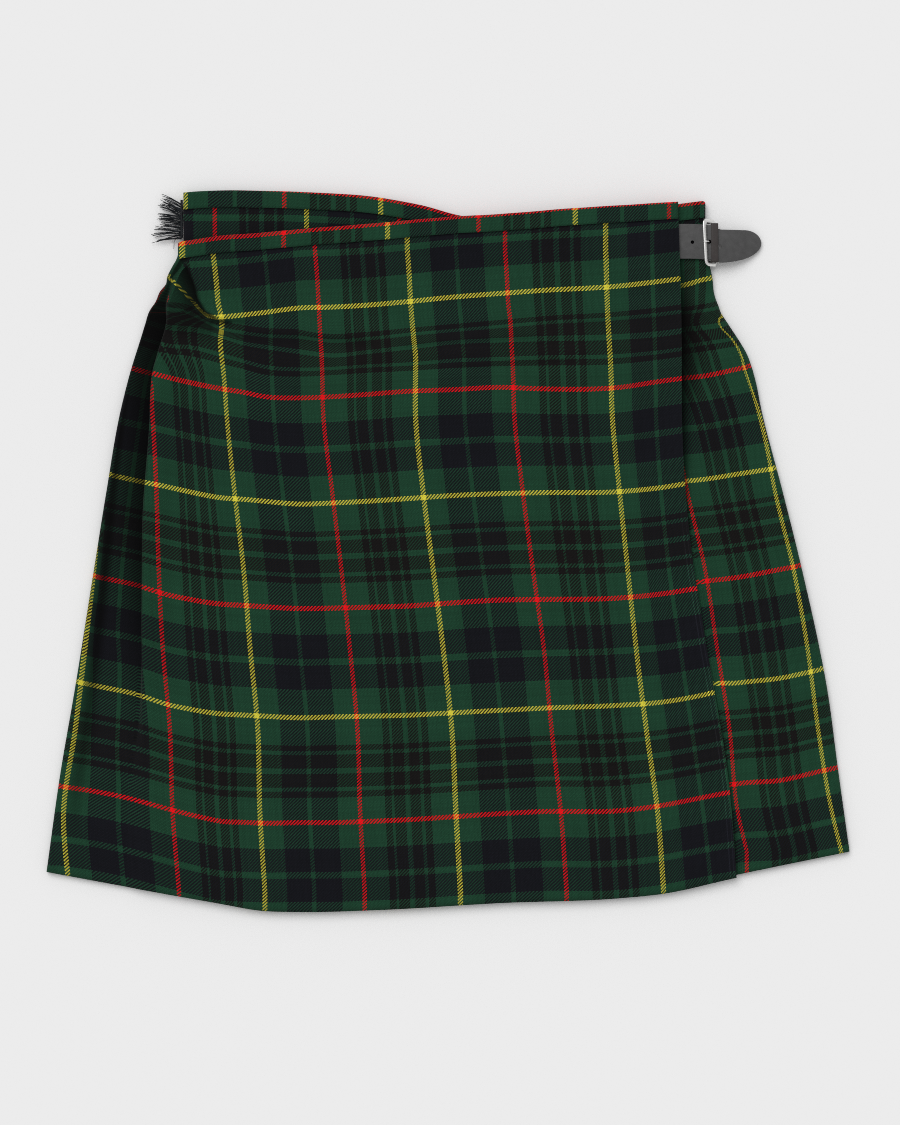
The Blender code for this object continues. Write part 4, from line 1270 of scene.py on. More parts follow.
def pleated_back_grid(rows):
    """The pleated back's middle surface, threads and zero painted shade.

    Every section is the pleats' profile at its own width, with the last bit of a pitch left flat.
    """
    sections = []
    for t in np.linspace(0, 1, rows):
        left = mix(BACK_LEFT[0], BACK_LEFT[1], t)
        width = mix(BACK_RIGHT[0], BACK_RIGHT[1], t) - left
        x, z = pleat_profile(width, width / (PLEATS + PLEAT_SPARE))
        x = x + left
        y = mix(top_at(x, "back") - BAND_DEPTH - BACK_SEAM, hem_at(x) + BACK_HEM_RISE, t)
        sections.append(np.stack([x, y, z], 1))
    grid = np.array(sections)
    length = run_length(grid[:, :, 0], grid[:, :, 2])
    warp = np.broadcast_to(length[-1:], length.shape) / WARP_PITCH
    weft = (grid[:, :, 1] - grid[-1:, :, 1]) / WEFT_PITCH + HEM_THREAD
    return grid, np.stack([warp, weft], 2), np.zeros(warp.shape)


def band_grid(path_x, path_z, path_top, warp, crest):
    """A folded band along a path across the kilt: front run, half circle over the top, back run.

    crest is the weft thread on the band's top edge at each place; the threads fall away from it
    down both runs.
    """
    around = np.linspace(0, math.pi, BAND_TURN_POINTS)
    run = np.linspace(BAND_DEPTH, BAND_LIFT + WALL / 2, BAND_RUN_POINTS)[:-1]
    down = np.concatenate([run, BAND_LIFT + WALL / 2 - BAND_LIFT * np.sin(around), run[::-1]])
    front = np.concatenate([
        np.full(len(run), BAND_LIFT),
        BAND_LIFT * np.cos(around),
        np.full(len(run), -BAND_LIFT),
    ])
    step_x = np.gradient(path_x)
    step_z = np.gradient(path_z)
    step = np.hypot(step_x, step_z)
    x = path_x[:, None] - step_z[:, None] / step[:, None] * front
    z = path_z[:, None] + step_x[:, None] / step[:, None] * front
    y = path_top[:, None] - down
    grid = np.stack([x, y + np.zeros_like(x), z], 2)
    from_top = np.concatenate([[0.0], np.cumsum(np.hypot(np.diff(down), np.diff(front)))])
    from_top = np.abs(from_top - from_top[len(from_top) // 2])
    weft = crest[:, None] - from_top / WEFT_PITCH
    threads = np.stack([warp[:, None] + np.zeros_like(weft), weft], 2)
    return grid, threads, np.zeros(weft.shape)


def band_warp(x, lines):
    """Warp thread along a band's flat run, whose lines take turns at yellow and red."""
    counts = [(WARP_YELLOW, WARP_RED)[n % 2] + WARP_REPEAT * (n // 2) for n in range(len(lines))]
    return between_lines(x, [np.full(x.shape, line) for line in lines], counts, WARP_PITCH)


def path_length(x, z):
    """Length along a path, from its first point."""
    return np.concatenate([[0.0], np.cumsum(np.hypot(np.diff(x), np.diff(z)))])


def over_band():
    """The band across the over apron's top, round the kilt's left edge and a little way under it."""
    nose = (OVER_WAIST_LEFT - BAND_FLOOR) / 2
    around = np.linspace(-math.pi / 2, math.pi / 2, BAND_NOSE_POINTS)
    wrap_x = OVER_BAND_EDGE + nose - nose * np.cos(around)
    wrap_z = BAND_FLOOR + nose + nose * np.sin(around)
    free = read(FREE_EDGES, EDGE_COLUMNS, "over", BAND_LEVEL)
    top_x = np.linspace(wrap_x[-1], free, OVER_BAND_POINTS)[1:]
    x = np.concatenate([[OVER_WRAP_END], wrap_x, top_x])
    z = np.concatenate([[BAND_FLOOR], wrap_z, over_height(top_x, top_at(top_x, "over"))])
    wrapped = len(wrap_x) + 1
    warp = band_warp(x, OVER_BAND_LINES)
    length = path_length(x, z)
    warp[:wrapped] = warp[wrapped] - (length[wrapped] - length[:wrapped]) / WARP_PITCH
    crest = WEFT_RED + mix(*OVER_CREST, ramp(x, *OVER_CREST_ACROSS))
    return band_grid(x, z, top_at(x, "over") + waves(x, x * 0, OVER_BAND_WAVE), warp, crest)


def under_band():
    """The band across the under apron's top, round the kilt's right edge and a little under it."""
    nose = (UNDER_WAIST - BAND_FLOOR) / 2
    around = np.linspace(math.pi / 2, -math.pi / 2, BAND_NOSE_POINTS)
    wrap_x = UNDER_BAND_EDGE - nose + nose * np.cos(around)
    wrap_z = BAND_FLOOR + nose + nose * np.sin(around)
    top_x = np.linspace(UNDER_BAND_START, wrap_x[0], UNDER_BAND_POINTS)[:-1]
    x = np.concatenate([top_x, wrap_x, [UNDER_WRAP_END]])
    z = np.concatenate([np.full(len(top_x), UNDER_WAIST), wrap_z, [BAND_FLOOR]])
    flat = len(top_x)
    warp = band_warp(x, UNDER_BAND_LINES)
    length = path_length(x, z)
    warp[flat:] = warp[flat] + (length[flat:] - length[flat]) / WARP_PITCH
    crest = WEFT_RED + mix(*UNDER_CREST, ramp(x, *UNDER_CREST_ACROSS))
    crest = crest + UNDER_CREST_CLIMB * ramp(x, *UNDER_CLIMB_ACROSS)
    return band_grid(x, z, top_at(x, "under") + waves(x, x * 0, UNDER_BAND_WAVE), warp, crest)


def back_band():
    """The band across the back's top, on the floor."""
    x = np.linspace(BACK_BAND_START, BACK_BAND_END, BACK_BAND_POINTS)
    z = np.full(len(x), BAND_FLOOR)
    warp = band_warp(x, UNDER_BAND_LINES)
    return band_grid(x, z, top_at(x, "back"), warp, np.full(len(x), BACK_CREST))


def group_socket(tree, name, kind, way="INPUT", value=None):
    """A named input or output of a node group, with the value that it starts at."""
    socket = tree.interface.new_socket(name, in_out=way, socket_type=kind)
    if value is not None:
        socket.default_value = value


class Nodes:
    """Adds and joins nodes in one tree."""

    def __init__(self, tree):
        self.tree = tree

    def add(self, kind, **settings):
        """A new node of a kind, with its settings."""
        node = self.tree.nodes.new(kind)
        for name, value in settings.items():
            setattr(node, name, value)
        return node

    def join(self, source, target):
        """Joins an output to an input."""
        self.tree.links.new(source, target)

    def feed(self, sockets, values):
        """Gives each input its number, its colour or another node's output."""
        for socket, value in zip(sockets, values):
            if isinstance(value, (int, float)):
                socket.default_value = value
            elif isinstance(value, tuple):
                socket.default_value = (*value, 1.0)[:4]
            else:
                self.join(value, socket)

    def math(self, operation, *values):
        """The result of one operation on numbers and outputs."""
        node = self.add("ShaderNodeMath", operation=operation)
        self.feed(node.inputs, values)
        return node.outputs[0]

    def blend(self, share, one, two, mode="MIX"):
        """Two colours mixed by a share."""
        node = self.add("ShaderNodeMix", data_type="RGBA", blend_type=mode)
        self.feed([node.inputs[k] for k in COLOUR_INPUTS], (share, one, two))
        return node.outputs[COLOUR_OUTPUT]

    def between(self, share, one, two):
        """Two numbers mixed by a share."""
        node = self.add("ShaderNodeMix", data_type="FLOAT")
        self.feed([node.inputs[k] for k in NUMBER_INPUTS], (share, one, two))
        return node.outputs[0]

    def scaled(self, vector, factor):
        """A vector or a colour times a factor."""
        node = self.add("ShaderNodeVectorMath", operation="SCALE")
        self.join(vector, node.inputs[0])
        self.join(factor, node.inputs["Scale"])
        return node.outputs[0]

    def noise(self, place, look, **settings):
        """Soft noise at a place, its look given as scale and detail."""
        node = self.add("ShaderNodeTexNoise", **settings)
        node.inputs["Scale"].default_value, node.inputs["Detail"].default_value = look
        self.join(place, node.inputs["Vector"])
        return node.outputs["Fac"]

    def bump(self, shader, height, strength, distance):
        """Raises a shader's surface by a height."""
        node = self.add("ShaderNodeBump")
        node.inputs["Strength"].default_value = strength
        node.inputs["Distance"].default_value = distance
        self.join(height, node.inputs["Height"])
        self.join(node.outputs["Normal"], shader.inputs["Normal"])


def stripe_ramp(nodes, name, share, dyes):
    """A ramp that gives each stripe of the chart its dye, over one repeat."""
    ramp_node = nodes.add("ShaderNodeValToRGB")
    stops = ramp_node.color_ramp
    stops.interpolation = "CONSTANT"
    threads = [row[CHART_COLUMNS.index(name)] for row in CHART]
    starts = np.concatenate([[0], np.cumsum(threads)[:-1]]) / sum(threads)
    for number, (start, row) in enumerate(zip(starts, CHART)):
        stop = stops.elements[number] if number < 1 else stops.elements.new(float(start))
        stop.position = float(start)
        stop.color = (*dyes[row[0]], 1.0)
    stops.elements.remove(stops.elements[len(CHART)])
    nodes.join(share, ramp_node.inputs["Fac"])
    return ramp_node.outputs["Color"]


def new_finish(name, values):
    """A new material whose shader has some plain values, with its nodes and its shader."""
    made = bpy.data.materials.new(name)
    made.use_nodes = True
    shader = made.node_tree.nodes["Principled BSDF"]
    for socket, value in values.items():
        shader.inputs[socket].default_value = value
    return made, Nodes(made.node_tree), shader


def tartan_group(dyes):
    """The tartan as a two and two twill.

    A warp thread shows where its number less the weft's, divided by four, leaves 0 or 1, so the
    twill rises to the right. Every thread bends down across itself and at both ends of each float,
    with painted shade where it bends, has its own slight shade and is dulled by fibres of a darker
    thread under it.
    """
    tree = bpy.data.node_groups.new("tartan_twill", "ShaderNodeTree")
    group_socket(tree, "Threads", "NodeSocketVector")
    group_socket(tree, "Fibre", "NodeSocketFloat", value=FIBRE)
    group_socket(tree, "Color", "NodeSocketColor", "OUTPUT")
    group_socket(tree, "Height", "NodeSocketFloat", "OUTPUT")
    nodes = Nodes(tree)
    given = nodes.add("NodeGroupInput")
    result = nodes.add("NodeGroupOutput")
    apart = nodes.add("ShaderNodeSeparateXYZ")
    nodes.join(given.outputs["Threads"], apart.inputs[0])
    count, number, colour, round_yarn = {}, {}, {}, {}
    for name, output, repeat in (("warp", "X", WARP_REPEAT), ("weft", "Y", WEFT_REPEAT)):
        count[name] = apart.outputs[output]
        number[name] = nodes.math("FLOOR", count[name])
        middle = nodes.math("ADD", number[name], 0.5)
        within = nodes.math("FRACT", nodes.math("DIVIDE", middle, float(repeat)))
        chance = nodes.add("ShaderNodeTexWhiteNoise", noise_dimensions="1D")
        nodes.join(nodes.math("ADD", number[name], YARNS[name]["seed"]), chance.inputs["W"])
        own = nodes.math("MULTIPLY_ADD", chance.outputs["Value"], *OWN_SHADE)
        colour[name] = nodes.scaled(stripe_ramp(nodes, name, within, dyes), own)
        across = nodes.math("MULTIPLY_ADD", nodes.math("FRACT", count[name]), 2.0, -1.0)
        round_yarn[name] = nodes.math("MULTIPLY", across, across)
    step = nodes.math("SUBTRACT", number["warp"], number["weft"])
    warp_up = nodes.math("LESS_THAN", nodes.math("WRAP", step, 4.0, 0.0), 1.5)
    upper = nodes.blend(warp_up, colour["weft"], colour["warp"])
    lower = nodes.blend(warp_up, colour["warp"], colour["weft"])
    dyed = nodes.blend(LOWER_SHOWS, upper, lower, "DARKEN")
    along = {
        "warp": nodes.math("SUBTRACT", number["warp"], count["weft"]),
        "weft": nodes.math("SUBTRACT", nodes.math("SUBTRACT", count["warp"], number["weft"]), 3.0),
    }
    height = {}
    for name, yarn_shape in YARNS.items():
        off_middle = nodes.math("WRAP", along[name], 2.0, -2.0)
        bent = nodes.math("MULTIPLY", off_middle, off_middle)
        bent = nodes.math("MULTIPLY", bent, yarn_shape["along_dip"])
        dip = nodes.math("MULTIPLY_ADD", round_yarn[name], yarn_shape["across_dip"], bent)
        height[name] = nodes.math("SUBTRACT", yarn_shape["crown"], dip)
    yarn_height_and_painted_shade = nodes.between(warp_up, height["weft"], height["warp"])
    fuzz = nodes.noise(given.outputs["Threads"], FUZZ_LOOK, noise_dimensions="2D")
    cloudy = nodes.noise(given.outputs["Threads"], CLOUD_LOOK, noise_dimensions="2D")
    stray = nodes.math("MULTIPLY", nodes.math("SUBTRACT", fuzz, 0.5), given.outputs["Fibre"])
    patch = nodes.math("MULTIPLY_ADD", cloudy, *CLOUD_SHADE)
    # Painted shade: the colour follows the yarn's height, darker where it dips, with the fuzz of stray
    # fibres.
    lifted = nodes.math("ADD", yarn_height_and_painted_shade, nodes.math("MULTIPLY", stray, 2.0))
    nodes.join(nodes.scaled(dyed, nodes.math("MULTIPLY", lifted, patch)), result.inputs["Color"])
    nodes.join(nodes.math("MULTIPLY_ADD", yarn_height_and_painted_shade, 2.0, stray), result.inputs["Height"])
    return tree


def wool(settings, tree):
    """Wool twill from the threads that the cloth's UV map counts, with painted shade in its folds."""
    _, nodes, shader = new_finish("tartan_wool", {
        "Roughness": 0.92,
        "Specular IOR Level": 0.08,
        "Sheen Weight": 0.05,
        "Sheen Roughness": 0.5,
    })
    threads = nodes.add("ShaderNodeUVMap", uv_map="threads")
    weave = nodes.add("ShaderNodeGroup")
    weave.node_tree = tree
    weave.inputs["Fibre"].default_value = settings.fibre
    nodes.join(threads.outputs["UV"], weave.inputs["Threads"])
    # Painted shading kept on the cloth's points darkens the colour, or lightens it on the free edge and
    # sewn lines.
    painted_shading = nodes.add("ShaderNodeAttribute", attribute_name="painted_shade_and_sewn_lines")
    lit = nodes.scaled(weave.outputs["Color"], nodes.math("SUBTRACT", 1.0, painted_shading.outputs["Fac"]))
    nodes.join(lit, shader.inputs["Base Color"])
    nodes.bump(shader, weave.outputs["Height"], YARN_BUMP, settings.yarn_relief)


def placed(name, mesh):
    """The mesh as an object in the scene, at the origin."""
    made = bpy.data.objects.new(name, mesh)
    bpy.context.scene.collection.objects.link(made)
    return made


def face_outwards(mesh):
    """Turns the faces of a closed mesh outwards."""
    turned = bmesh.new()
    turned.from_mesh(mesh)
    bmesh.ops.recalc_face_normals(turned, faces=turned.faces)
    turned.to_mesh(mesh)
    turned.free()


def set_mesh(name, points, quads, threads=None):
    """A mesh object from points in millimetres, four-sided faces and the threads at each point."""
    mesh = bpy.data.meshes.new(name)
    mesh.vertices.add(len(points))
    mesh.vertices.foreach_set("co", (np.asarray(points) * MM).astype(np.float32).ravel())
    mesh.loops.add(quads.size)
    mesh.loops.foreach_set("vertex_index", quads.ravel().astype(np.int32))
    mesh.polygons.add(len(quads))
    mesh.polygons.foreach_set("loop_start", (np.arange(len(quads)) * 4).astype(np.int32))
    mesh.update(calc_edges=True)
    mesh.validate()
    if threads is not None:
        layer = mesh.uv_layers.new(name="threads")
        layer.data.foreach_set("uv", threads[quads.ravel()].astype(np.float32).ravel())
    mesh.shade_smooth()
    return placed(name, mesh)


def grid_quads(rows, columns, closed=False):
    """The squares of a grid whose points are listed row by row; closed joins its two side columns."""
    wide = columns if closed else columns - 1
    across = np.arange(wide)
    after = (across + 1) % columns
    start = (np.arange(rows - 1) * columns)[:, None]
    corners = (start + across, start + columns + across, start + columns + after, start + after)
    return np.stack([corner.ravel() for corner in corners], 1)


def cloth_piece(name, grid, threads, shade, finish):
    """A thin wall of cloth round the middle surface that a grid gives, with painted shade in its folds.
    """
    rows, columns, _ = grid.shape
    made = set_mesh(name, grid.reshape(-1, 3), grid_quads(rows, columns), threads.reshape(-1, 2))
    painted_shading = made.data.attributes.new("painted_shade_and_sewn_lines", "FLOAT", "POINT")
    painted_shading.data.foreach_set("value", shade.astype(np.float32).ravel())
    shell = made.modifiers.new("wall", "SOLIDIFY")
    shell.thickness = WALL * MM
    shell.offset = 0
    shell.use_quality_normals = True
    made.data.materials.append(finish)
    return made


def lay(piece, node):
    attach(piece, "root")
    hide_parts(node)


def tube(path, radius, sides, taper=1.0):
    """Points of a round rod along a path: a ring of so many sides at each point, square to the path."""
    path = np.asarray(path, float)
    run = np.gradient(path, axis=0)
    run /= np.linalg.norm(run, axis=1)[:, None]
    up = np.array([0.0, 0.0, 1.0]) if abs(run[:, 2]).mean() < STEEP else np.array([0.0, 1.0, 0.0])
    side = np.cross(run, up)
    side /= np.linalg.norm(side, axis=1)[:, None]
    rise = np.cross(side, run)
    around = np.arange(sides) * 2 * math.pi / sides
    thick = radius * np.linspace(1.0, taper, len(path))[:, None, None]
    ring = side[:, None] * np.cos(around)[:, None] + rise[:, None] * np.sin(around)[:, None]
    return path[:, None] + thick * ring


def rods(name, tubes, finish):
    """One mesh of many capped rods, each given as its rings."""
    points, quads, caps, first = [], [], [], 0
    for rings in tubes:
        steps, sides, _ = rings.shape
        points.append(rings.reshape(-1, 3))
        quads.append(grid_quads(steps, sides, closed=True) + first)
        caps.append(list(range(first, first + sides)))
        caps.append(list(range(first + (steps - 1) * sides, first + steps * sides))[::-1])
        first += steps * sides
    mesh = bpy.data.meshes.new(name)
    faces = [face for part in quads for face in part.tolist()] + caps
    mesh.from_pydata((np.concatenate(points) * MM).tolist(), [], faces)
    mesh.validate()
    face_outwards(mesh)
    mesh.shade_smooth()
    mesh.materials.append(finish)
    return placed(name, mesh)


def finishes():
    """The kilt's materials, made once."""
    scene = bpy.context.scene
    if "tartan_wool" in bpy.data.materials:
        return bpy.data.materials
    cloth = scene.kilt_cloth
    dyes = {name: tuple(getattr(cloth, name)) for name in ("green", "navy", "black", "red", "yellow")}
    wool(cloth, tartan_group(dyes))
    grain = leather_grain()
    leather("strap_leather", scene.kilt_leather.colour, scene.kilt_leather.grain, grain)
    leather("keeper_leather", scene.kilt_leather.keeper, scene.kilt_leather.grain, grain)
    nickel(scene.kilt_metal)
    yarn("loose_yarn", tuple(cloth.frayed))
    return bpy.data.materials


def leather_grain():
    """Grain of leather: pebbles with creases between them, over a slower swell."""
    tree = bpy.data.node_groups.new("leather_grain", "ShaderNodeTree")
    group_socket(tree, "Size", "NodeSocketFloat", value=GRAIN)
    group_socket(tree, "Height", "NodeSocketFloat", "OUTPUT")
    group_socket(tree, "Wear", "NodeSocketFloat", "OUTPUT")
    nodes = Nodes(tree)
    given = nodes.add("NodeGroupInput")
    result = nodes.add("NodeGroupOutput")
    place = nodes.add("ShaderNodeTexCoord")
    scaled = nodes.scaled(place.outputs["Object"], nodes.math("DIVIDE", 1.0, given.outputs["Size"]))
    pebbles = nodes.add("ShaderNodeTexVoronoi", feature="SMOOTH_F1")
    pebbles.inputs["Scale"].default_value = 1.0
    nodes.join(scaled, pebbles.inputs["Vector"])
    swell = nodes.noise(scaled, SWELL_LOOK)
    sunk = nodes.math("MULTIPLY", pebbles.outputs["Distance"], PEBBLE_HEIGHT)
    nodes.join(nodes.math("MULTIPLY_ADD", swell, SWELL_HEIGHT, sunk), result.inputs["Height"])
    nodes.join(swell, result.inputs["Wear"])
    return tree


def leather(name, colour, size, tree):
    """Dark leather with its grain, paler and smoother where it is worn."""
    _, nodes, shader = new_finish(name, {"Specular IOR Level": 0.32})
    grain = nodes.add("ShaderNodeGroup")
    grain.node_tree = tree
    grain.inputs["Size"].default_value = size
    wear = grain.outputs["Wear"]
    dark, pale = (tuple(share * part for part in colour) for share in LEATHER_SHADES)
    nodes.join(nodes.blend(wear, dark, pale), shader.inputs["Base Color"])
    nodes.join(nodes.math("MULTIPLY_ADD", wear, *LEATHER_ROUGH), shader.inputs["Roughness"])
    nodes.bump(shader, grain.outputs["Height"], *LEATHER_BUMP)


def nickel(settings):
    """Bright plate with small marks."""
    _, nodes, shader = new_finish("nickel_plate", {"Metallic": 1.0})
    place = nodes.add("ShaderNodeTexCoord")
    marks = nodes.noise(place.outputs["Object"], MARKS_LOOK)
    colour = tuple(settings.colour)
    shade = tuple(NICKEL_SHADE * part for part in colour)
    nodes.join(nodes.blend(marks, shade, colour), shader.inputs["Base Color"])
    nodes.join(nodes.math("MULTIPLY_ADD", marks, *NICKEL_ROUGH), shader.inputs["Roughness"])


def yarn(name, colour):
    """Loose wool yarn, streaked along its length."""
    _, nodes, shader = new_finish(name, {"Roughness": 0.85, "Specular IOR Level": 0.25})
    place = nodes.add("ShaderNodeTexCoord")
    streak = nodes.noise(place.outputs["Object"], STREAK_LOOK)
    dark, pale = (tuple(min(1.0, share * part) for part in colour) for share in YARN_SHADES)
    nodes.join(nodes.blend(streak, dark, pale), shader.inputs["Base Color"])


def strap_middle(x):
    """The strap's middle line at a place along it: its place up the kilt and its height."""
    return read(STRAP_PATH, STRAP_COLUMNS, "y", x), read(STRAP_PATH, STRAP_COLUMNS, "z", x)


def strap_sides(x):
    """The strap's two long edges: straight as far as the keeper, then quarter ellipses to the tip."""
    middle, _ = strap_middle(x)
    past = ramp(x, *STRAP_TAPERS)
    out_top = np.clip((x - STRAP_TIP) / TIP_TOP_LENGTH + 1, 0, 1)
    out_low = np.clip((x - STRAP_TIP) / TIP_LOW_LENGTH + 1, 0, 1)
    top = TIP_Y + TIP_TOP_RISE * np.sqrt(1 - out_top ** 2)
    low = TIP_Y - TIP_LOW_RISE * np.sqrt(1 - out_low ** 2)
    return mix(middle + STRAP_WIDTH / 2, top, past), mix(middle - STRAP_WIDTH / 2, low, past)


def rounded_rectangle(half_width, half_height, corner, steps):
    """Points round a rectangle with round corners, each corner a quarter circle in some steps."""
    xs, ys = [], []
    for turn, (side_x, side_y) in enumerate(((1, 1), (-1, 1), (-1, -1), (1, -1))):
        angle = np.linspace(0, math.pi / 2, steps) + turn * math.pi / 2
        xs.append(side_x * (half_width - corner) + corner * np.cos(angle))
        ys.append(side_y * (half_height - corner) + corner * np.sin(angle))
    return np.concatenate(xs), np.concatenate(ys)


def strap_mesh(finish):
    """The strap as a rounded section carried along its path between its two edges."""
    body = np.linspace(STRAP_START, STRAP_TIP - POINT_START, BODY_STEPS)
    point = STRAP_TIP - POINT_LENGTH * np.linspace(1, POINT_END, POINT_STEPS) ** 2
    x = np.concatenate([body, point])[:, None]
    _, z = strap_middle(x)
    top, low = strap_sides(x)
    y = (top + low) / 2
    half = (top - low) / 2
    angle = np.linspace(0, math.pi / 2, CORNER_POINTS)
    edge_y = np.concatenate([-np.cos(angle), np.cos(angle[::-1])])
    edge_z = np.concatenate([np.sin(angle), np.sin(angle[::-1])])
    flat = np.repeat([-1.0, 1.0], CORNER_POINTS)
    ring_y = np.concatenate([edge_y, edge_y[::-1]])
    ring_z = np.concatenate([edge_z, -edge_z[::-1]])
    flat_y = np.concatenate([flat, flat[::-1]])
    rise = np.repeat([1.0, -1.0], 2 * CORNER_POINTS)
    lean = np.maximum(half - STRAP_SOFT, LEAST_HALF)
    grid_y = y + flat_y * lean + STRAP_SOFT * ring_y
    grid_z = z + rise * (STRAP_THICK / 2 - STRAP_SOFT) + STRAP_SOFT * ring_z
    grid = np.stack(np.broadcast_arrays(x, grid_y, grid_z), 2)
    rings, around, _ = grid.shape
    quads = grid_quads(rings, around, closed=True)
    mesh = bpy.data.meshes.new("strap_hide")
    caps = [list(range(around)), list(range((rings - 1) * around, rings * around))]
    mesh.from_pydata((grid.reshape(-1, 3) * MM).tolist(), [], quads.tolist() + caps)
    face_outwards(mesh)
    mesh.materials.append(finish)
    return placed("strap_hide", mesh)


def punch(piece, places):
    """Cuts round holes through a piece, with the cutters removed afterwards."""
    cutters = []
    for x, y, radius in places:
        shape = bmesh.new()
        wide = radius * MM
        bmesh.ops.create_cone(
            shape, cap_ends=True, segments=HOLE_SIDES, radius1=wide, radius2=wide, depth=PUNCH_LENGTH * MM
        )
        _, z = strap_middle(x)
        bmesh.ops.translate(shape, verts=shape.verts, vec=(x * MM, y * MM, float(z) * MM))
        mesh = bpy.data.meshes.new("punch")
        shape.to_mesh(mesh)
        shape.free()
        cutters.append(placed("punch", mesh))
        cut = piece.modifiers.new("hole", "BOOLEAN")
        cut.object = cutters[-1]
        cut.operation = "DIFFERENCE"
    apply_modifiers(piece)
    for cutter in cutters:
        bpy.data.objects.remove(cutter)


def apply_modifiers(piece):
    """Puts the result of the piece's modifiers into its mesh."""
    graph = bpy.context.evaluated_depsgraph_get()
    mesh = bpy.data.meshes.new_from_object(piece.evaluated_get(graph))
    piece.modifiers.clear()
    piece.data = mesh


class KILT_OT_over_apron(bpy.types.Operator):
    """Lay the over apron with its fold and creases"""

    bl_idname = "kilt.over_apron"
    bl_label = "Over apron"

    def execute(self, context):
        grid, threads, shade = over_apron_grid(*OVER_GRID)
        piece = cloth_piece("over_apron_cloth", grid, threads, shade, finishes()["tartan_wool"])
        lay(piece, "over_apron")
        return {"FINISHED"}


class KILT_OT_under_apron(bpy.types.Operator):
    """Lay the under apron and its frayed edge"""

    bl_idname = "kilt.under_apron"
    bl_label = "Under apron"

    def execute(self, context):
        grid, threads, shade = under_apron_grid(*UNDER_GRID)
        piece = cloth_piece("under_apron_cloth", grid, threads, shade, finishes()["tartan_wool"])
        edge = fringe_mesh(finishes())
        lay(edge, "fringe")
        lay(piece, "under_apron")
        return {"FINISHED"}


class KILT_OT_pleated_back(bpy.types.Operator):
    """Lay the pleated back on the floor"""

    bl_idname = "kilt.pleated_back"
    bl_label = "Pleated back"

    def execute(self, context):
        grid, threads, shade = pleated_back_grid(BACK_ROWS)
        piece = cloth_piece("pleated_back_cloth", grid, threads, shade, finishes()["tartan_wool"])
        piece.modifiers["wall"].use_even_offset = True
        lay(piece, "pleated_back")
        return {"FINISHED"}


class KILT_OT_waistbands(bpy.types.Operator):
    """Fold the waistbands over the tops of the aprons and the back"""

    bl_idname = "kilt.waistbands"
    bl_label = "Waistbands"

    def execute(self, context):
        for node, shape, slot in (
            ("waistband_over", over_band, "tartan_green"),
            ("waistband_under", under_band, "tartan_green"),
            ("waistband_back", back_band, "tartan_dark"),
        ):
            grid, threads, shade = shape()
            piece = cloth_piece(node + "_cloth", grid, threads, shade, finishes()["tartan_wool"])
            piece.modifiers["wall"].use_even_offset = True
            lay(piece, node)
        return {"FINISHED"}


def fringe_mesh(made):
    """Frayed weft threads in tufts that fan out left from a narrow strip.

    Each strand gathers towards its tuft's middle, leaves at the tuft's angle and drops below it with
    the square of its length.
    """
    picks = np.random.default_rng(FRINGE_SEED)
    t = np.linspace(0, 1, STRAND_POINTS)
    tubes = []
    for tuft in range(TUFTS):
        place = tuft / (TUFTS - 1)
        middle = mix(FRINGE_TOP - TUFT_INSET[0], FRINGE_BOTTOM + TUFT_INSET[1], place)
        aim = mix(*TUFT_ANGLE, place) + picks.normal(0, TUFT_TURN)
        length = mix(*TUFT_LENGTH, place) + picks.normal(0, TUFT_UNEVEN)
        sag = mix(*TUFT_SAG, picks.random())
        for _ in range(STRANDS):
            root = picks.uniform(-STRAND_ROOT, STRAND_ROOT)
            reach = length * picks.uniform(*STRAND_LENGTH)
            stray = picks.normal(0, STRAND_STRAY)
            angle = aim + picks.normal(0, STRAND_TURN)
            gathered = middle + root * (1 - STRAND_GATHER * t)
            x = STRIP_X - reach * t * math.cos(angle)
            y = gathered + reach * t * math.sin(angle) + (stray - sag) * t * t
            depth = picks.uniform(-STRAND_DEPTH, STRAND_DEPTH)
            z = STRIP_Z + depth - picks.uniform(*STRAND_FALL) * t * t
            tubes.append(tube(np.stack([x, y, z], 1), STRAND_RADIUS, STRAND_SIDES, STRAND_TAPER))
    tubes.append(tube(LOOSE_STRAND, LOOSE_RADIUS, STRAND_SIDES, STRAND_TAPER))
    levels = np.linspace(FRINGE_BOTTOM, FRINGE_TOP, STRIP_POINTS)
    strip = [(STRIP_X, level, STRIP_Z) for level in levels]
    tubes.append(tube(strip, STRIP_WIDTH * STRIP_ROUND, STRIP_SIDES, STRIP_TAPER))
    return rods("fringe_strands", tubes, made["loose_yarn"])


class KILT_OT_strap(bpy.types.Operator):
    """Make the leather strap, its keeper and the buckle's tab"""

    bl_idname = "kilt.strap"
    bl_label = "Strap"

    def execute(self, context):
        hide = finishes()["strap_leather"]
        piece = strap_mesh(hide)
        holes = [(x, y, HOLE_RADIUS) for x, y in PUNCHED_HOLES] + [(*PRONG_HOLE, PRONG_HOLE_RADIUS)]
        punch(piece, holes)
        piece.data.materials.clear()
        piece.data.materials.append(hide)
        piece.data.polygons.foreach_set("material_index", [0] * len(piece.data.polygons))
        piece.data.shade_smooth()
        piece.data.set_sharp_from_angle(angle=SHARP_ANGLE)
        lay(piece, "strap")
        darker = finishes()["keeper_leather"]
        lay(keeper_mesh(darker), "keeper")
        lay(tab_mesh(darker), "buckle_tab")
        return {"FINISHED"}


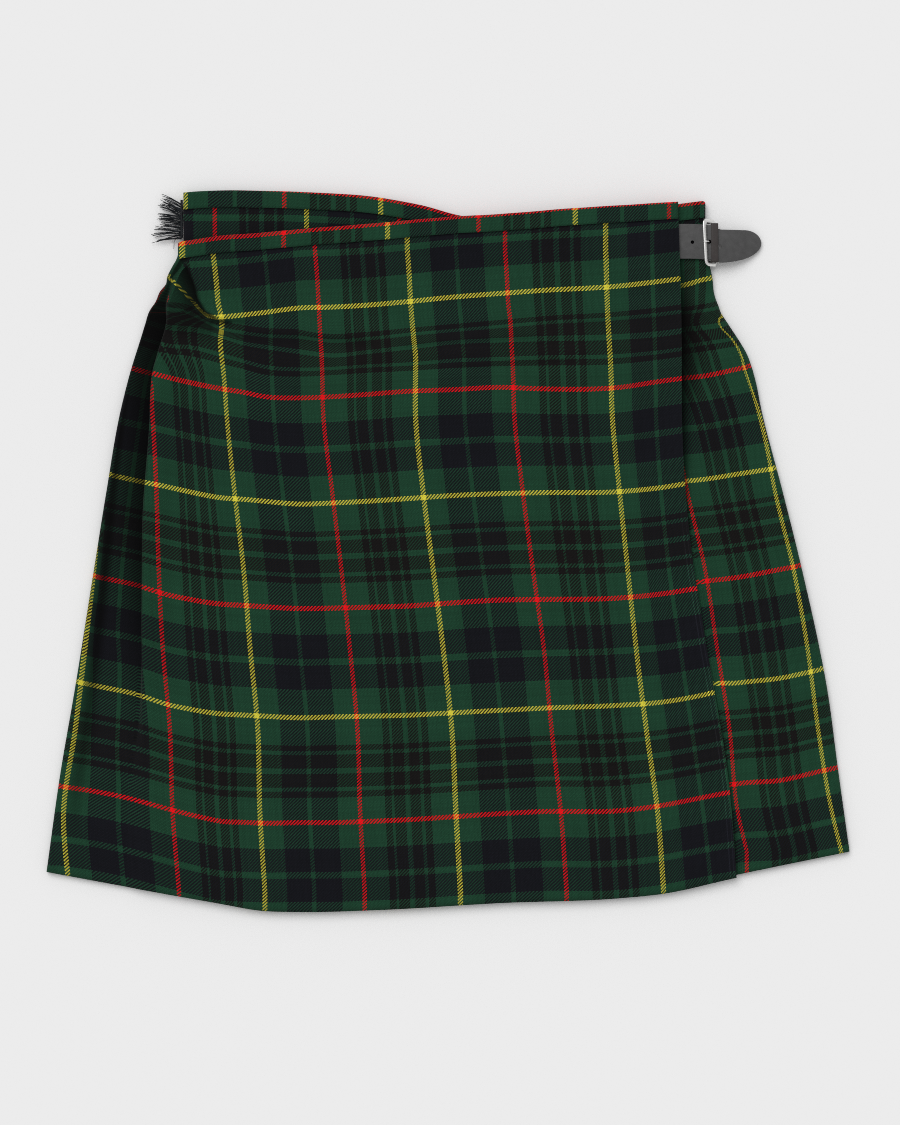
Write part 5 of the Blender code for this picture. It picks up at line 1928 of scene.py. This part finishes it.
def band_of_leather(name, grid, thick, finish, closed=False):
    """A leather strip round a middle surface, with its edges rounded."""
    rows, columns, _ = grid.shape
    made = set_mesh(name, grid.reshape(-1, 3), grid_quads(rows, columns, closed))
    shell = made.modifiers.new("wall", "SOLIDIFY")
    shell.thickness = thick * MM
    shell.offset = 0
    shell.use_even_offset = True
    soft = made.modifiers.new("soft_edge", "BEVEL")
    soft.width = LEATHER_BEVEL * MM
    soft.segments = 2
    soft.limit_method = "ANGLE"
    soft.angle_limit = SHARP_ANGLE
    apply_modifiers(made)
    face_outwards(made.data)
    made.data.materials.clear()
    made.data.materials.append(finish)
    made.data.shade_smooth()
    return made


def keeper_mesh(finish):
    """A closed leather loop round the strap, next to the buckle."""
    y, z = strap_middle((KEEPER_LEFT + KEEPER_RIGHT) / 2)
    half_y = STRAP_WIDTH / 2 + KEEPER_ROOM + KEEPER_THICK / 2
    half_z = STRAP_THICK / 2 + KEEPER_ROOM + KEEPER_THICK / 2
    loop_y, loop_z = rounded_rectangle(half_y, half_z, KEEPER_CORNER, KEEPER_CORNER_POINTS)
    sides = np.linspace(KEEPER_LEFT, KEEPER_RIGHT, KEEPER_RINGS)[:, None]
    grid = np.stack(np.broadcast_arrays(sides, y + loop_y, z + loop_z), 2)
    return band_of_leather("keeper_loop", grid, KEEPER_THICK, finish, closed=True)


def tab_mesh(finish):
    """A leather strip sewn under the hip's edge, bent up and looped round the buckle's pivot."""
    loop = BUCKLE_ROD + SEAM + TAB_THICK / 2
    low = TAB_THICK / 2
    around = np.radians(np.linspace(*TAB_LOOP, TAB_LOOP_POINTS))
    loop_x = BUCKLE_PIVOT_X + loop * np.cos(around)
    loop_z = BUCKLE_PIVOT_Z + loop * np.sin(around)
    x = np.concatenate([TAB_ROOT, loop_x])[:, None]
    z = np.concatenate([[low, low, low, low + TAB_LIFT], loop_z])[:, None]
    across = np.linspace(-0.5, 0.5, TAB_COLUMNS) * TAB_WIDTH
    x = x - across * math.sin(BUCKLE_LEAN)
    grid = np.stack(np.broadcast_arrays(x, BUCKLE_CENTRE_Y + across, z), 2)
    return band_of_leather("buckle_tab_leather", grid, TAB_THICK, finish)


class KILT_OT_buckle(bpy.types.Operator):
    """Make the buckle's frame and prong"""

    bl_idname = "kilt.buckle"
    bl_label = "Buckle"

    def execute(self, context):
        plate = finishes()["nickel_plate"]
        lay(buckle_frame_mesh(plate), "buckle_frame")
        points = np.array([(x, PRONG_HOLE[1], z) for x, z in PRONG_PATH])
        steps = np.linspace(0, len(points) - 1, PRONG_POINTS)
        path = np.stack([soft_curve(steps, np.arange(len(points)), points[:, k]) for k in range(3)], 1)
        prong = rods("prong_pin", [tube(path, PRONG_RADIUS, PRONG_SIDES, PRONG_TAPER)], plate)
        lay(prong, "buckle_prong")
        return {"FINISHED"}


def buckle_frame_mesh(finish):
    """A rectangle with round corners in a flat oval section, from the bar over the strap to its pivot."""
    run = BUCKLE_PIVOT_X - BUCKLE_LEFT_X
    drop = BUCKLE_PIVOT_Z - BUCKLE_LEFT_Z
    reach = math.hypot(run, drop)
    tilt = math.atan2(drop, run)
    along, up = rounded_rectangle(reach / 2, BUCKLE_HALF, BUCKLE_CORNER, BUCKLE_CORNER_POINTS)
    step_a = np.roll(along, -1) - np.roll(along, 1)
    step_u = np.roll(up, -1) - np.roll(up, 1)
    size = np.hypot(step_a, step_u)
    out_a, out_u = step_u / size, -step_a / size
    around = np.arange(BUCKLE_SIDES) * 2 * math.pi / BUCKLE_SIDES
    wide = BUCKLE_SECTION[0] * np.cos(around)
    thick = BUCKLE_SECTION[1] * np.sin(around)
    grid_a = along[:, None] + out_a[:, None] * wide + reach / 2
    grid_u = up[:, None] + out_u[:, None] * wide
    normal = thick + np.zeros_like(grid_a)
    leaning = grid_u * math.sin(BUCKLE_LEAN)
    x = BUCKLE_LEFT_X + grid_a * math.cos(tilt) - normal * math.sin(tilt) - leaning
    z = BUCKLE_LEFT_Z + grid_a * math.sin(tilt) + normal * math.cos(tilt)
    y = BUCKLE_CENTRE_Y + grid_u
    points = np.stack([x, y, z], 2)
    rows, columns, _ = points.shape
    index = np.arange(rows)[:, None] * columns + np.arange(columns)
    below = np.roll(index, -1, 0)
    quads = np.stack([index, below, np.roll(below, -1, 1), np.roll(index, -1, 1)], 2).reshape(-1, 4)
    made = set_mesh("buckle_frame_plate", points.reshape(-1, 3), quads)
    face_outwards(made.data)
    made.data.materials.append(finish)
    return made


class KILT_OT_stage(bpy.types.Operator):
    """Set the floor, the light and the camera"""

    bl_idname = "kilt.stage"
    bl_label = "Stage"

    def execute(self, context):
        scene = context.scene
        stage = scene.kilt_stage
        scene.view_settings.view_transform = "Standard"
        scene.cycles.use_denoising = False
        scene.cycles.filter_width = PIXEL_FILTER
        corners = np.array([(-1, -1, 0), (1, -1, 0), (1, 1, 0), (-1, 1, 0)]) * FLOOR_HALF
        floor = set_mesh("floor", corners / MM, np.array([[0, 1, 2, 3]]))
        pale, _, _ = new_finish("pale_floor", {
            "Base Color": (*stage.floor, 1.0),
            "Roughness": 1.0,
            "Specular IOR Level": 0.0,
        })
        floor.data.materials.append(pale)
        world = bpy.data.worlds.new("studio")
        world.use_nodes = True
        sky = world.node_tree.nodes["Background"]
        sky.inputs["Color"].default_value = (1.0, 1.0, 1.0, 1.0)
        sky.inputs["Strength"].default_value = SKY_LIGHT
        scene.world = world
        lamp = bpy.data.lights.new("key", "SUN")
        lamp.energy = KEY_LIGHT
        lamp.angle = KEY_SOFTNESS
        key = bpy.data.objects.new("key", lamp)
        key.rotation_euler = KEY_TURN
        scene.collection.objects.link(key)
        camera = bpy.data.cameras.new("camera")
        camera.sensor_width = FILM_WIDTH
        camera.lens = FILM_WIDTH * stage.height / stage.view_length
        camera.clip_end = CLIP_END
        eye = bpy.data.objects.new("camera", camera)
        eye.location = (*EYE, stage.height)
        scene.collection.objects.link(eye)
        scene.camera = eye
        return {"FINISHED"}


class KILT_PT_panel(bpy.types.Panel):
    """The kilt's pieces and finishes, in the sidebar."""

    bl_idname = "KILT_PT_panel"
    bl_label = "Wrap kilt"
    bl_space_type = "VIEW_3D"
    bl_region_type = "UI"
    bl_category = "Kilt"

    def draw(self, context):
        layout = self.layout
        for name in SETTINGS:
            settings = getattr(context.scene, name)
            box = layout.box()
            for field in settings.bl_rna.properties:
                if field.identifier not in ("rna_type", "name"):
                    box.prop(settings, field.identifier)
        for operator in OPERATORS:
            layout.operator(operator.bl_idname)


SETTINGS = {
    "kilt_cloth": KiltCloth,
    "kilt_leather": KiltLeather,
    "kilt_metal": KiltMetal,
    "kilt_stage": KiltStage,
}
OPERATORS = (
    KILT_OT_stage,
    KILT_OT_pleated_back,
    KILT_OT_under_apron,
    KILT_OT_over_apron,
    KILT_OT_waistbands,
    KILT_OT_strap,
    KILT_OT_buckle,
)


def register():
    for settings in SETTINGS.values():
        bpy.utils.register_class(settings)
    for name, settings in SETTINGS.items():
        setattr(bpy.types.Scene, name, bpy.props.PointerProperty(type=settings))
    for made in (*OPERATORS, KILT_PT_panel):
        bpy.utils.register_class(made)


def unregister():
    for made in reversed((*OPERATORS, KILT_PT_panel)):
        bpy.utils.unregister_class(made)
    for name in reversed(SETTINGS):
        delattr(bpy.types.Scene, name)
    for settings in reversed(SETTINGS.values()):
        bpy.utils.unregister_class(settings)


def main():
    register()
    for operator in OPERATORS:
        group, name = operator.bl_idname.split(".")
        getattr(getattr(bpy.ops, group), name)()


if __name__ == "__main__":
    main()
